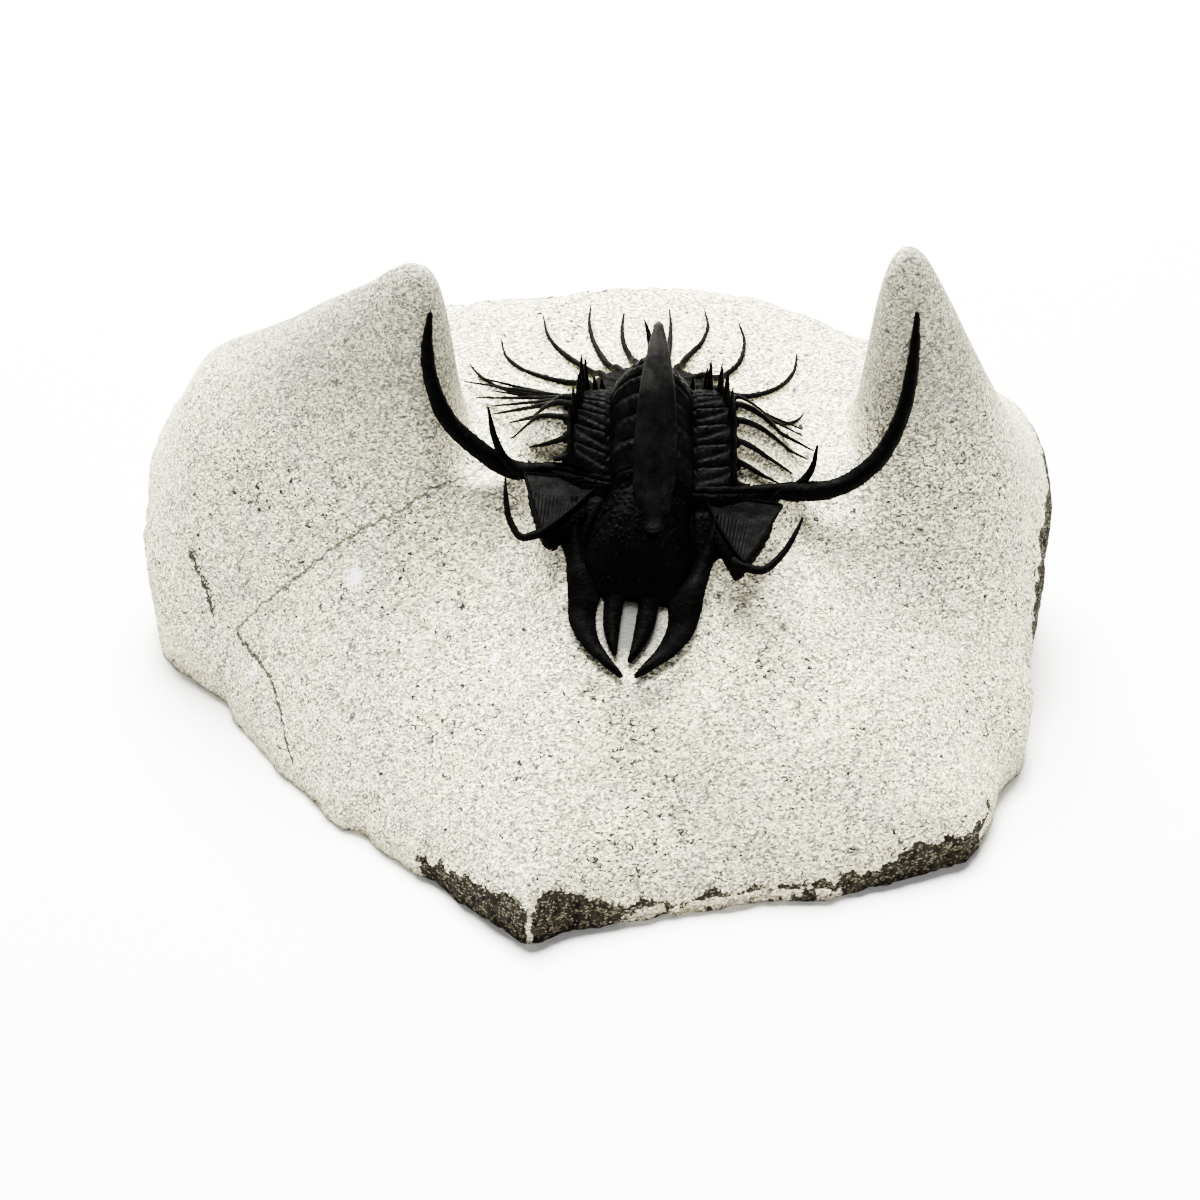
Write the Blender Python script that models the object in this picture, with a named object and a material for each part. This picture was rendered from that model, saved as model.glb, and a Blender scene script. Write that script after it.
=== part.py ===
"""A spiny trilobite fossil on its block of limestone.

The block lies on its flat base with the head of the animal facing -Y. The pale stone is one
solid with two pillars that carry the long genal spines. The shell is in thirteen pieces: the
head shield with its four-pronged rostrum, eleven thoracic segments and the tail shield.
Lengths in the tables below are in millimetres.
"""
import math

import bmesh
import bpy
import numpy as np
from mathutils import Vector

MM = 0.001
SHELL = 1.0            # thickness of the shell
GAP = 0.35             # clear space between a shell piece and what it touches
LIFT = 0.55            # clear space under a spine that lies along the stone
BODY_X = 6.4           # middle line of the thorax
SEGMENTS = 11
AROUND = 150           # facets round the block and up it before thinning
RINGS = 110
STONE_RATIO = 0.051
FLOOR = 33.0           # level stone behind the thorax
BANK_CLEAR = 2.3       # how far the stone stays below the thorax
CENTRE = (0.0, 6.0)

# Foot of the block, (x, y), anticlockwise from the front corner.
OUTLINE = [(-8.8, -46.2), (-3.6, -43.2), (4.9, -41.2), (12.2, -39.6), (20.7, -38.2), (28.0, -38.0),
           (33.1, -35.6), (40.5, -33.4), (46.8, -30.4), (50.0, -23.6), (51.0, -18.8), (54.2, -14.2),
           (55.4, -5.0), (56.5, 2.0), (57.8, 10.0), (59.6, 17.0), (58.8, 23.0), (55.6, 28.6),
           (50.0, 32.0), (42.0, 34.2), (33.0, 37.6), (26.5, 41.2), (18.0, 44.9), (5.0, 45.8),
           (-6.0, 43.6), (-20.0, 42.6), (-34.0, 41.0), (-46.0, 37.2), (-55.0, 30.8), (-59.4, 23.0),
           (-59.8, 14.0), (-58.2, 7.6), (-54.0, 3.4), (-49.6, -0.8), (-43.8, -10.0), (-36.8, -19.6),
           (-32.8, -24.6), (-27.6, -28.6), (-21.6, -34.2), (-15.6, -39.8)]
# Height of the broken rim, and the distance over which the stone climbs to its level top.
RIM_TABLE = [(-180, 6.0), (-174, 4.0), (-168, 2.2), (-150, 2.0), (-130, 2.2), (-112, 3.6), (-100, 4.4), (-90, 3.2),
             (-75, 2.2), (-60, 2.4), (-45, 3.6), (-32, 4.2), (-21, 5.0), (-14, 8.0), (-6, 12.0), (2, 16.5),
             (10, 20.0), (18, 23.5), (26, 27.5), (36, 30.6), (50, 32.2), (90, 33.2), (125, 32.4), (146, 30.0),
             (157, 26.0), (166, 20.0), (173, 13.0)]
CLIMB_TABLE = [(-180, 30), (-165, 36), (-150, 46), (-135, 54), (-120, 57), (-90, 56), (-60, 58), (-40, 56), (-25, 50),
               (-10, 40), (5, 28), (20, 18), (35, 10), (90, 8), (125, 9), (150, 14), (166, 22)]

# Crests of the two ridges that end in the pillars: (x, y, height).
LEFT_CREST = [(-22.4, 14.0, 57.4), (-26.0, 15.2, 56.4), (-32.0, 17.4, 50.4), (-38.2, 20.0, 44.8), (-44.5, 22.0, 40.8),
              (-51.0, 23.6, 38.4), (-56.5, 23.0, 34.5)]
RIGHT_CREST = [(37.6, 14.0, 58.6), (39.6, 14.0, 57.6), (43.0, 14.0, 51.4), (46.6, 13.6, 45.2), (50.4, 13.2, 39.4)]

# Level of the pleural deck along the thorax and the tail shield: y, height.
DECK = [(-3, 34.9), (-1, 36.3), (1, 37.9), (3, 39.6), (5, 41.2), (7, 42.5), (9, 42.8), (11, 41.6),
        (12.5, 40.3), (14, 38.7), (15.5, 37.2), (17, 36.3), (19, 35.8), (22, 35.5), (25, 35.2), (27, 35.0)]
AXIS_HALF = [(-2, 5.3), (4, 5.2), (10, 5.0), (14, 4.5), (17, 3.9), (21, 3.0), (26, 1.4)]
AXIS_HIGH = [(-2, 3.6), (1, 4.0), (4, 4.7), (7, 5.1), (9, 5.4), (11, 5.5), (13, 5.4), (17, 4.4), (21, 3.0),
             (24, 1.8), (26, 0.8)]
EDGE_HALF = [(-2, 11.2), (4, 11.0), (9, 10.6), (12, 10.0), (15.5, 8.9), (17, 8.6)]
EDGE_DROP = [(-2, 1.8), (2, 2.0), (4, 1.7), (6, 1.2), (8, 0.6), (11, 0.5), (13, 0.6), (15.5, 0.7), (17, 0.5)]
BANK = 8.0             # how far out the stone slopes down beside the thorax
CUTS = [-1.3, 0.9, 3.0, 4.9, 6.6, 8.2, 9.7, 11.1, 12.4, 13.6, 14.7, 15.8]
SKEW = 0.144           # the front of the thorax turns with the head and the rear does not
BOW = 1.75             # how far the segments sweep back at their ends
TAIL_END = 26.2

# Tips of the pleural spines of each segment on the two sides, (x, y).
TIPS_LEFT = [(-5.8, 4.6), (-8.1, 8.2), (-11.3, 11.6), (-11.5, 14.9), (-13.7, 16.9), (-15.2, 18.9),
             (-17.0, 21.1), (-17.2, 23.8), (-13.8, 22.3), (-12.6, 20.6), (-9.4, 19.4)]
TIPS_RIGHT = [(18.6, 2.1), (22.5, 3.0), (24.0, 4.3), (25.5, 7.5), (26.9, 9.1), (26.4, 11.0),
              (25.4, 12.9), (22.6, 13.0), (20.4, 13.6), (18.6, 14.5), (17.3, 15.4)]
# Upright spines of each segment: distance from the middle line and height, left then right.
UPRIGHT_LEFT = [(10.0, 2.0), (10.0, 2.4), (9.6, 2.6), (9.0, 2.8), (8.8, 3.4), (8.6, 5.4), (8.1, 4.9), (7.0, 4.2),
                (6.1, 4.8), (5.8, 1.6), (5.4, 1.2)]
UPRIGHT_RIGHT = [(10.1, 2.0), (10.1, 2.8), (10.1, 3.6), (9.9, 4.6), (9.3, 4.4), (8.6, 4.2), (7.3, 4.5), (6.9, 3.5),
                 (5.2, 2.6), (5.6, 1.6), (5.4, 1.2)]
# Spines along the middle line, all leaning to the left.
MEDIAN = [0.3, 0.4, 0.6, 1.0, 2.2, 3.9, 4.9, 4.0, 3.0, 2.2, 1.6]
# Marginal spines of the tail shield, root first, (x, y).
TAIL_SPINES = [[(-1.6, 17.6), (-6.2, 20.6), (-9.4, 21.1), (-12.5, 22.3), (-15.6, 25.2), (-16.9, 27.6)],
               [(-0.4, 20.0), (-3.4, 23.6), (-6.8, 24.5), (-9.8, 26.2), (-12.2, 29.2), (-12.9, 32.8)],
               [(1.0, 22.2), (-1.6, 26.6), (-5.0, 30.0), (-6.8, 33.6), (-7.5, 38.2)],
               [(3.0, 24.0), (0.6, 28.2), (-0.9, 32.5), (-1.4, 36.7), (-1.2, 40.6)],
               [(4.9, 25.2), (3.9, 28.8), (3.1, 32.0), (2.9, 35.0), (3.2, 39.2)],
               [(8.1, 25.2), (8.8, 28.8), (9.2, 33.0), (9.3, 36.6), (9.2, 39.8)],
               [(9.6, 24.0), (11.0, 28.4), (13.2, 32.2), (14.2, 36.2), (13.8, 39.8)],
               [(11.4, 22.2), (15.6, 25.4), (17.8, 27.8), (18.9, 32.8), (18.3, 36.8)],
               [(13.2, 20.6), (17.4, 20.4), (20.0, 20.8), (22.8, 22.4), (25.0, 25.8), (25.7, 30.2)],
               [(14.4, 18.2), (19.0, 15.8), (22.8, 14.4), (25.0, 15.4), (26.2, 17.5)]]

# Head frame: origin at the middle of the back border, v forwards, u to the right.
HEAD_AT = (6.5, -1.0)
HEAD_YAW = math.radians(8.3)
ROLL = 0.075
HEAD_DECK = [(-5, 36.4), (-3, 36.5), (0, 36.0), (2, 35.3), (4, 34.1), (6, 32.7), (8, 31.2), (10, 29.7),
             (12, 28.2), (14, 27.0), (16, 25.9), (18, 24.9), (20, 24.0), (21.8, 23.3), (28, 20.0), (36, 15.4)]
HEAD_HALF = [(0.0, 16.2), (0.12, 15.0), (0.28, 13.0), (0.46, 11.6), (0.6, 10.4), (0.74, 9.0), (0.88, 8.5), (1.0, 7.4)]
HEAD_SHIFT = [(-3, 0.0), (0, 0.0), (4, -0.3), (8, -0.6), (12, -0.7)]
HEAD_FRONT = 12.4
GLABELLA_HALF = [(-2, 4.9), (2, 5.2), (6, 6.2), (9, 7.0), (11.5, 6.6), (13, 5.0)]
GLABELLA_HIGH = [(-2, 3.4), (1, 3.2), (4, 3.6), (7, 4.0), (9.5, 3.4), (11.2, 1.8), (12.4, 0.5), (13, 0.0)]

# Lid of an eye turret (u outwards, v, z) and its foot on the cheek (u, v).
LID = [(6.0, -0.3, 35.5), (16.4, -0.5, 35.1), (14.5, 4.6, 34.3), (13.3, 7.8, 33.8), (12.6, 9.5, 33.5),
       (10.5, 6.9, 34.0), (8.7, 4.3, 34.6), (7.3, 1.9, 35.1)]
EYE_FOOT = [(6.8, 0.4), (13.0, -0.3), (13.0, 3.2), (12.3, 5.6), (11.4, 7.5), (9.8, 6.5), (8.1, 4.9), (7.0, 2.6)]

# Spines of the head, (x, y, z) and radius.
GENAL_LEFT = [(-6.5, 1.6, 35.4, 1.0), (-10.8, 3.2, 35.2, 1.25), (-15.2, 4.0, 37.9, 1.2), (-19.0, 5.6, 41.4, 1.1),
              (-20.8, 7.4, 45.6, 0.95), (-21.3, 8.8, 49.6, 0.75), (-20.8, 10.0, 54.2, 0.3)]
GENAL_RIGHT = [(19.5, 0.4, 34.8, 1.0), (24.0, 0.0, 34.2, 1.25), (29.2, 0.0, 34.8, 1.2), (34.0, 1.4, 37.6, 1.15),
               (37.0, 4.0, 42.0, 1.0), (38.3, 6.4, 46.8, 0.85), (38.7, 8.0, 51.0, 0.65), (38.8, 9.2, 54.8, 0.3)]
SIDE_LEFT = [(-9.6, 2.0, 35.4, 0.8), (-11.6, 2.6, 37.0, 0.62), (-13.1, 3.5, 40.2, 0.45), (-13.8, 4.9, 43.6, 0.16)]
SIDE_RIGHT = [(21.4, -0.2, 34.0, 0.8), (24.4, 0.3, 34.8, 0.62), (26.2, 1.2, 36.8, 0.45), (26.9, 2.6, 39.4, 0.16)]
EYE_HORN_LEFT = [(-6.7, -7.3, 33.5, 0.8), (-7.7, -8.4, 34.2, 0.6), (-9.6, -9.2, 34.4, 0.5), (-11.0, -7.6, 35.6, 0.42),
                 (-11.5, -5.4, 37.2, 0.34), (-11.6, -3.2, 38.8, 0.14)]
EYE_HORN_RIGHT = [(16.3, -10.9, 31.8, 0.8), (17.6, -12.0, 32.0, 0.62), (19.8, -12.4, 31.8, 0.55), (22.0, -11.0, 32.8, 0.45),
                  (23.8, -8.8, 34.4, 0.34), (24.8, -7.2, 35.8, 0.14)]
# Great horn: point, half width, half depth.
HORN = [(6.5, -6.3, 36.4, 1.9, 1.2), (6.6, -4.8, 38.3, 2.3, 2.0), (6.75, -2.4, 42.0, 2.4, 1.85),
        (6.9, 0.1, 45.8, 2.25, 1.6), (7.0, 2.5, 49.3, 1.85, 1.35), (7.1, 4.4, 52.6, 1.25, 1.0), (7.15, 5.8, 55.6, 0.5, 0.5)]
# Prongs of the rostrum in the head frame: u, v, half width.
PRONGS = [[(-6.3, 10.6, 1.9), (-7.1, 13.0, 1.7), (-6.9, 15.4, 1.4), (-5.3, 18.0, 1.0), (-3.0, 20.0, 0.65), (-0.8, 21.6, 0.25)],
          [(-2.5, 11.0, 1.0), (-2.6, 13.0, 1.0), (-2.4, 15.2, 0.9), (-1.9, 17.0, 0.6), (-1.5, 18.4, 0.25)],
          [(1.3, 11.0, 1.0), (1.3, 13.0, 1.0), (1.1, 15.4, 0.9), (0.7, 17.6, 0.6), (0.2, 19.4, 0.25)],
          [(5.2, 10.6, 1.9), (5.7, 13.0, 1.65), (5.4, 15.4, 1.35), (4.5, 17.8, 1.0), (2.8, 19.8, 0.65), (0.9, 21.4, 0.25)]]
PRONG_DEEP = 0.55


def smooth(table, x):
    """Reads a table through a smooth curve."""
    xs = np.array([row[0] for row in table], float)
    ys = np.array([row[1] for row in table], float)
    slopes = np.gradient(ys, xs)
    x = np.clip(np.asarray(x, float), xs[0], xs[-1])
    i = np.clip(np.searchsorted(xs, x, side="right") - 1, 0, len(xs) - 2)
    h = xs[i + 1] - xs[i]
    t = (x - xs[i]) / h
    a = (1 + 2 * t) * (1 - t) ** 2
    b = t * (1 - t) ** 2
    c = t * t * (3 - 2 * t)
    d = t * t * (t - 1)
    return a * ys[i] + b * h * slopes[i] + c * ys[i + 1] + d * h * slopes[i + 1]


def step(lo, hi, x):
    t = np.clip((x - lo) / (hi - lo), 0.0, 1.0)
    return t * t * (3 - 2 * t)


# ---------------------------------------------------------------- the stone
def ring(table, blur):
    """Values round the block for every half degree, rounded off over a few degrees."""
    table = sorted(table)
    turn = np.arange(-180.0, 180.0, 0.5)
    raw = np.interp(turn, [row[0] for row in table], [row[1] for row in table], period=360.0)
    if blur == 0:
        return raw
    reach = int(blur * 6)
    k = np.exp(-0.5 * (np.arange(-reach, reach + 1) / (blur * 2)) ** 2)
    wide = np.concatenate([raw[-reach:], raw, raw[:reach]])
    return np.convolve(wide, k / k.sum(), mode="valid")


def outline_table():
    rows = []
    for x, y in OUTLINE:
        dx = x - CENTRE[0]
        dy = y - CENTRE[1]
        rows.append((math.degrees(math.atan2(dy, dx)), math.hypot(dx, dy)))
    return rows


FOOT = ring(outline_table(), 0)
FOOT_SMOOTH = ring(outline_table(), 7.0)
RIM = ring(RIM_TABLE, 2.0)
CLIMB = ring(CLIMB_TABLE, 6.0)


def read_ring(values, angle):
    return np.interp(angle, np.arange(-180.0, 180.0, 0.5), values, period=360.0)


def crest_share(x, y, crest, inward):
    """Height added by a ridge: a sharp fall at its inner end, a long one in front."""
    pts = np.array(crest)
    n = 26
    s = np.linspace(0, len(pts) - 1, n)
    line = np.stack([np.interp(s, range(len(pts)), pts[:, k]) for k in range(3)], 1)
    total = 0.0
    power = 16.0
    for px, py, pz in line:
        far = abs(px - pts[0, 0])
        dx = x - px
        dy = y - py
        d = np.hypot(dx, dy) + 1e-6
        inner = np.clip(dx * inward / d, 0, 1)
        front = np.clip(-dy / d, 0, 1)
        back = np.clip(dy / d, 0, 1)
        reach = 6.6 + (1.6 + 0.34 * far) * front ** 2 + 0.12 * far * back ** 2
        reach = reach + (4.5 - reach) * inner ** 1.3
        sharp = 1.85 + 2.6 * inner ** 1.5
        share = (pz - FLOOR + 1.6) * np.exp(-(d / reach) ** sharp)
        total = total + np.clip(share, 0, None) ** power
    return total ** (1 / power) / 1.065


def undulation(x, y):
    """Gentle unevenness of the prepared stone."""
    out = 0.0
    waves = [(0.11, 0.05, 0.3, 0.5), (-0.07, 0.13, 1.7, 0.45), (0.19, 0.17, 2.6, 0.28), (0.31, -0.22, 4.0, 0.18),
             (-0.26, 0.35, 5.1, 0.14)]
    for a, b, c, amp in waves:
        out = out + amp * np.sin(a * x + b * y + c)
    return out


def ground(x, y):
    """Top of the stone, without the core left standing under the shell."""
    x = np.asarray(x, float)
    y = np.asarray(y, float)
    dx = x - CENTRE[0]
    dy = y - CENTRE[1]
    ang = np.degrees(np.arctan2(dy, dx))
    r = np.hypot(dx, dy)
    foot = read_ring(FOOT, ang)
    near = step(0.78, 1.0, r / foot)
    edge = foot * near + read_ring(FOOT_SMOOTH, ang) * (1 - near) - r
    edge = np.clip(edge, 0, None)
    rim = read_ring(RIM, ang)
    u = np.clip(edge / read_ring(CLIMB, ang), 0, 1)
    base = rim + (FLOOR - rim) * (1 - (1 - u) ** 1.75) ** 0.86
    calm = 1 - 0.8 * step(-10, 2, y) * step(34, 22, np.abs(x - 6))
    base = base + undulation(x, y) * step(0, 12, edge) * calm
    u, v = to_head(x, y)
    under = smooth(HEAD_DECK, v) - 2.2 - 0.075 * u - 1.0 * step(3.0, 7.0, np.abs(u)) * step(16.0, 12.0, v)
    beside = step(17.0, 8.5, np.abs(u)) * step(33.0, 20.0, v) * step(1.0, 7.0, v)
    base = base + (under - base) * beside
    base = base - 0.6 * step(14.0, 9.0, np.abs(x - BODY_X)) * step(30.0, 26.0, y) * step(-4.0, 2.0, y)
    edge_half = smooth(EDGE_HALF, y)
    t = np.abs(x - BODY_X)
    rim_x = BODY_X + np.sign(x - BODY_X) * np.clip(t, edge_half - 0.9, edge_half)
    level = thorax_height(rim_x, y) - BANK_CLEAR
    out = np.clip(1 - np.clip(t - edge_half, 0, None) / BANK, 0, 1) ** 1.2
    ends = step(-0.6, 3.0, y + SKEW * (x - BODY_X)) * step(17.5, 13.0, y)
    base = base + np.clip(level - base, 0, None) * out * ends
    ridge = np.maximum(crest_share(x, y, LEFT_CREST, 1.0), crest_share(x, y, RIGHT_CREST, -1.0))
    return base + ridge * step(-1.0, 7.0, edge)


# ---------------------------------------------------------------- the animal
def to_head(x, y):
    c, s = math.cos(HEAD_YAW), math.sin(HEAD_YAW)
    dx = x - HEAD_AT[0]
    dy = y - HEAD_AT[1]
    return c * dx - s * dy, -s * dx - c * dy


def from_head(u, v):
    c, s = math.cos(HEAD_YAW), math.sin(HEAD_YAW)
    return HEAD_AT[0] + c * u - s * v, HEAD_AT[1] - s * u - c * v


def thorax_height(x, y):
    """Outer face of the thorax and tail shield at a point of the plan."""
    t = np.abs(x - BODY_X)
    half = smooth(AXIS_HALF, y)
    lobe = smooth(AXIS_HIGH, y) * np.clip(1 - (t / half) ** 2, 0, 1) ** 0.72
    edge = smooth(EDGE_HALF, y)
    bend = np.clip((t - edge + 1.9) / 1.9, 0, 1.2)
    sag = 0.35 * np.clip((t - half) / (edge - half), 0, 1)
    return smooth(DECK, y) + lobe - sag - smooth(EDGE_DROP, y) * bend ** 1.6


def head_roll(u, v):
    """The head leans down to its left, most of all in front."""
    return ROLL * u * step(-9, 7, v)


def head_height(u, v):
    """Outer face of the head shield, in its own plan."""
    w = u - smooth(HEAD_SHIFT, v)
    row = np.clip((v + 3.4) / (HEAD_FRONT + 3.4), 0, 1)
    side = smooth(HEAD_HALF, row)
    lobe = smooth(GLABELLA_HIGH, v) * np.clip(1 - (np.abs(w) / smooth(GLABELLA_HALF, v)) ** 2.4, 0, 1) ** 0.7
    fall = 1.5 * np.clip(np.abs(w) / side, 0, 1.1) ** 3
    return smooth(HEAD_DECK, v) + lobe - fall - head_roll(u, v)


def normal_of(height, x, y):
    e = 0.05
    dx = (height(x + e, y) - height(x - e, y)) / (2 * e)
    dy = (height(x, y + e) - height(x, y - e)) / (2 * e)
    n = np.array([-dx, -dy, 1.0])
    return n / np.linalg.norm(n)


def thorax_point(x, y, depth):
    n = normal_of(thorax_height, x, y)
    return np.array([x, y, float(thorax_height(x, y))]) - n * depth


def head_point(u, v, depth):
    n = normal_of(head_height, u, v)
    p = np.array([u, v, float(head_height(u, v))]) - n * depth
    x, y = from_head(p[0], p[1])
    return np.array([x, y, p[2]])


def cut_line(k, x):
    """Where the joint in front of segment k crosses the plan, k counted from the head."""
    t = x - BODY_X
    turn = SKEW * max(0.0, 1 - k / 8)
    return float(np.interp(k, range(len(CUTS)), CUTS)) - turn * t + BOW * (1 - k / 16) * (t / 11) ** 2


def columns_at(k, inset):
    """Plan x of the columns of a segment: close together over the axial ring and at the bent ends."""
    y = float(np.interp(k, range(len(CUTS)), CUTS))
    half = float(smooth(AXIS_HALF, y))
    edge = float(smooth(EDGE_HALF, y))
    out = [0.0, 0.42 * half, 0.78 * half, half, (half + edge - 1.9) / 2, edge - 1.9]
    if inset == 0:
        out = out + [edge - 0.8, edge]
    return [BODY_X - t for t in reversed(out[1:])] + [BODY_X + t for t in out]


def tail_half(y):
    return 8.6 * math.sqrt(max(0.0, 1 - ((y - 15.6) / (TAIL_END - 15.6)) ** 2.3)) + 0.25


# ---------------------------------------------------------------- making solids
def clear_scene():
    for ob in list(bpy.data.objects):
        bpy.data.objects.remove(ob)


def material(name, colour, rough):
    mat = bpy.data.materials.new(name)
    mat.use_nodes = True
    shader = mat.node_tree.nodes["Principled BSDF"]
    shader.inputs["Base Color"].default_value = (*colour, 1)
    shader.inputs["Roughness"].default_value = rough
    return mat


def group(name):
    coll = bpy.data.collections.new(name)
    bpy.context.scene.collection.children.link(coll)
    return coll


def finish_mesh(bm, name):
    bmesh.ops.remove_doubles(bm, verts=bm.verts, dist=1e-7)
    bmesh.ops.recalc_face_normals(bm, faces=bm.faces)
    mesh = bpy.data.meshes.new(name)
    bm.to_mesh(mesh)
    bm.free()
    return bpy.data.objects.new(name, mesh)


def sheet(name, columns, rows, top, under):
    """A curved plate: one grid for its outer face and one for its inner face, joined at the rim."""
    bm = bmesh.new()
    loops = []
    for place in (top, under):
        made = bmesh.ops.create_grid(bm, x_segments=columns, y_segments=rows, size=1.0)
        rim = []
        for vert in made["verts"]:
            if vert.is_boundary:
                rim.append(vert)
            a = (vert.co.x + 1) / 2
            b = (vert.co.y + 1) / 2
            vert.co = Vector(place(a, b)) * MM
        loops.append(set(rim))
    edges = [e for e in bm.edges if e.is_boundary]
    bmesh.ops.bridge_loops(bm, edges=edges)
    return finish_mesh(bm, name)


def along(points, count):
    """Points spread evenly along a smooth line through the given ones."""
    p = np.array(points, float)
    gaps = np.linalg.norm(np.diff(p[:, :2] if p.shape[1] == 2 else p[:, :3], axis=0), axis=1)
    s = np.concatenate([[0], np.cumsum(gaps)])
    want = np.linspace(0, s[-1], count)
    return np.stack([smooth(list(zip(s, p[:, k])), want) for k in range(p.shape[1])], 1)


def tube(name, rows, sides, reference=(0, 0, 1)):
    """A tapering limb: rows of x, y, z, half width, half depth."""
    rows = np.array(rows, float)
    n = len(rows)
    tangents = np.gradient(rows[:, :3], axis=0)
    bm = bmesh.new()
    bmesh.ops.create_grid(bm, x_segments=n - 1, y_segments=sides, size=1.0)
    for vert in bm.verts:
        i = round((vert.co.x + 1) / 2 * (n - 1))
        turn = (vert.co.y + 1) * math.pi
        t = Vector(tangents[i]).normalized()
        side = t.cross(Vector(reference)).normalized()
        up = side.cross(t)
        centre = Vector(rows[i, :3])
        vert.co = (centre + side * (math.cos(turn) * rows[i, 3]) + up * (math.sin(turn) * rows[i, 4])) * MM
    bmesh.ops.remove_doubles(bm, verts=bm.verts, dist=1e-7)
    bmesh.ops.holes_fill(bm, edges=[e for e in bm.edges if e.is_boundary], sides=0)
    return finish_mesh(bm, name)


def evaluated(ob, name):
    graph = bpy.context.evaluated_depsgraph_get()
    mesh = bpy.data.meshes.new_from_object(ob.evaluated_get(graph))
    mesh.name = name
    return mesh


def combine(body, others, operation, spare):
    """Boolean of a body with a list of other solids, one after another."""
    bpy.context.scene.collection.objects.link(body)
    for other in others:
        spare.objects.link(other)
        other.hide_render = True
        other.display_type = "WIRE"
        mod = body.modifiers.new("join", "BOOLEAN")
        mod.operation = operation
        mod.solver = "EXACT"
        mod.object = other
        mesh = evaluated(body, body.name)
        body.modifiers.clear()
        body.data = mesh
    bpy.context.scene.collection.objects.unlink(body)
    return body


def lie_on_stone(points, radius, root_z, count, steady):
    """A spine from the shell down to the stone and out along it."""
    line = along(points, count)
    ends = float(ground(*line[-1])) + LIFT
    rows = []
    for i, (x, y) in enumerate(line):
        k = i / (count - 1)
        r = radius * (1 - k) ** 0.7 + 0.13
        rest = float(ground(x, y)) + LIFT + r
        straight = root_z + (ends - root_z) * k
        z = max(rest, straight) if steady else rest + max(0.0, root_z - rest) * max(0.0, 1 - k * 2.6) ** 1.6
        rows.append((x, y, z, r, r))
    return rows


def make_segment(i):
    name = f"thoracic_segment_{i + 1:02d}"
    xs = columns_at(i + 0.5, 0)

    def plan(a, b):
        x = xs[round(a * (len(xs) - 1))]
        y0 = cut_line(i, x) + GAP / 2
        y1 = cut_line(i + 1, x) - GAP / 2
        return x, y0 + (y1 - y0) * b

    def outer(a, b):
        x, y = plan(a, b)
        return (x, y, float(thorax_height(x, y)))

    def inner(a, b):
        x, y = plan(a, b)
        n = normal_of(thorax_height, x, y)
        return (x - n[0] * SHELL, y, float(thorax_height(x, y)) - SHELL * (n[2] + 0.4 * n[1] * n[1]))

    body = sheet(name, len(xs) - 1, 1, outer, inner)
    parts = []
    thick = 0.36 * (CUTS[i + 1] - CUTS[i] - GAP)

    def middle(x):
        return (cut_line(i, x) + cut_line(i + 1, x)) / 2

    for side, tip, (out, high) in ((-1, TIPS_LEFT[i], UPRIGHT_LEFT[i]), (1, TIPS_RIGHT[i], UPRIGHT_RIGHT[i])):
        edge = float(smooth(EDGE_HALF, CUTS[i]))
        x = BODY_X + side * (edge - 1.0)
        root = thorax_point(x, middle(x), 0.55)
        bend = (BODY_X + side * (edge + 0.8), middle(x) + 0.12 * (tip[1] - middle(x)))
        mid = ((bend[0] + tip[0]) / 2, (bend[1] + tip[1]) / 2 - 0.15)
        rows = lie_on_stone([tuple(root[:2]), bend, mid, tip], 0.28, float(root[2]), 5, True)
        rows[0] = (*root, min(0.42, thick), min(0.42, thick))
        parts.append(tube(f"{name}_pleural", rows, 4))
        x = BODY_X + side * out
        foot = thorax_point(x, middle(x), 0.6)
        stem = [(foot[0], foot[1], foot[2], min(0.42, 0.85 * thick), min(0.42, 0.85 * thick)),
                (foot[0] + side * 0.12, foot[1] + 0.1 * high, foot[2] + 0.6 + high, 0.14, 0.14)]
        parts.append(tube(f"{name}_upright", stem, 4, (0, 1, 0)))
    top = thorax_point(BODY_X, middle(BODY_X), 0.6)
    high = MEDIAN[i]
    stem = [(top[0], top[1], top[2], min(0.5, thick), min(0.5, thick)),
            (top[0] - 0.2 * high, top[1] + 0.2 * high, top[2] + 0.6 + high, 0.14, 0.14)]
    parts.append(tube(f"{name}_median", stem, 4, (0, 1, 0)))
    return combine(body, parts, "UNION", SPARE)


def tail_face(x, y):
    """Outer face of the tail shield, drawn down a little at its margin."""
    b = max(0.0, (y - CUTS[-1]) / (TAIL_END - CUTS[-1]))
    rim = min(1.0, abs(x - BODY_X) / tail_half(y)) ** 4
    return float(thorax_height(x, y)) - 0.3 * rim * float(step(0, 0.25, b)) - 0.5 * b ** 4


def tail_plan(a, b):
    """Plan of the tail shield: its front edge follows the last joint."""
    y = CUTS[-1] + (TAIL_END - CUTS[-1]) * b
    x = BODY_X + (2 * a - 1) * tail_half(y)
    front = cut_line(len(CUTS) - 1, x) - CUTS[-1] + GAP / 2
    return x, y + front * (1 - b) ** 2


def make_tail():
    def outer(a, b):
        x, y = tail_plan(a, b)
        return (x, y, tail_face(x, y))

    def inner(a, b):
        p = outer(a, b)
        return (p[0], p[1], p[2] - 0.7)

    body = sheet("pygidium", 10, 5, outer, inner)
    parts = []
    for k, line in enumerate(TAIL_SPINES):
        x, y = line[0]
        half = 0.86 * tail_half(y)
        root = (BODY_X + max(-half, min(half, x - BODY_X)), y)
        rows = lie_on_stone([root, *line[1:]], 0.38, tail_face(*root) - 0.35, 7, False)
        rows[0] = (*rows[0][:3], 0.3, 0.3)
        parts.append(tube(f"tail_spine_{k}", rows, 4))
    return combine(body, parts, "UNION", SPARE)


def from_head_rows(table, extra):
    rows = []
    for u, v, r in table:
        x, y = from_head(u, v)
        rows.append((x, y, float(smooth(HEAD_DECK, v)) - 0.2 - 0.03 * u, r, extra))
    return rows


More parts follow.
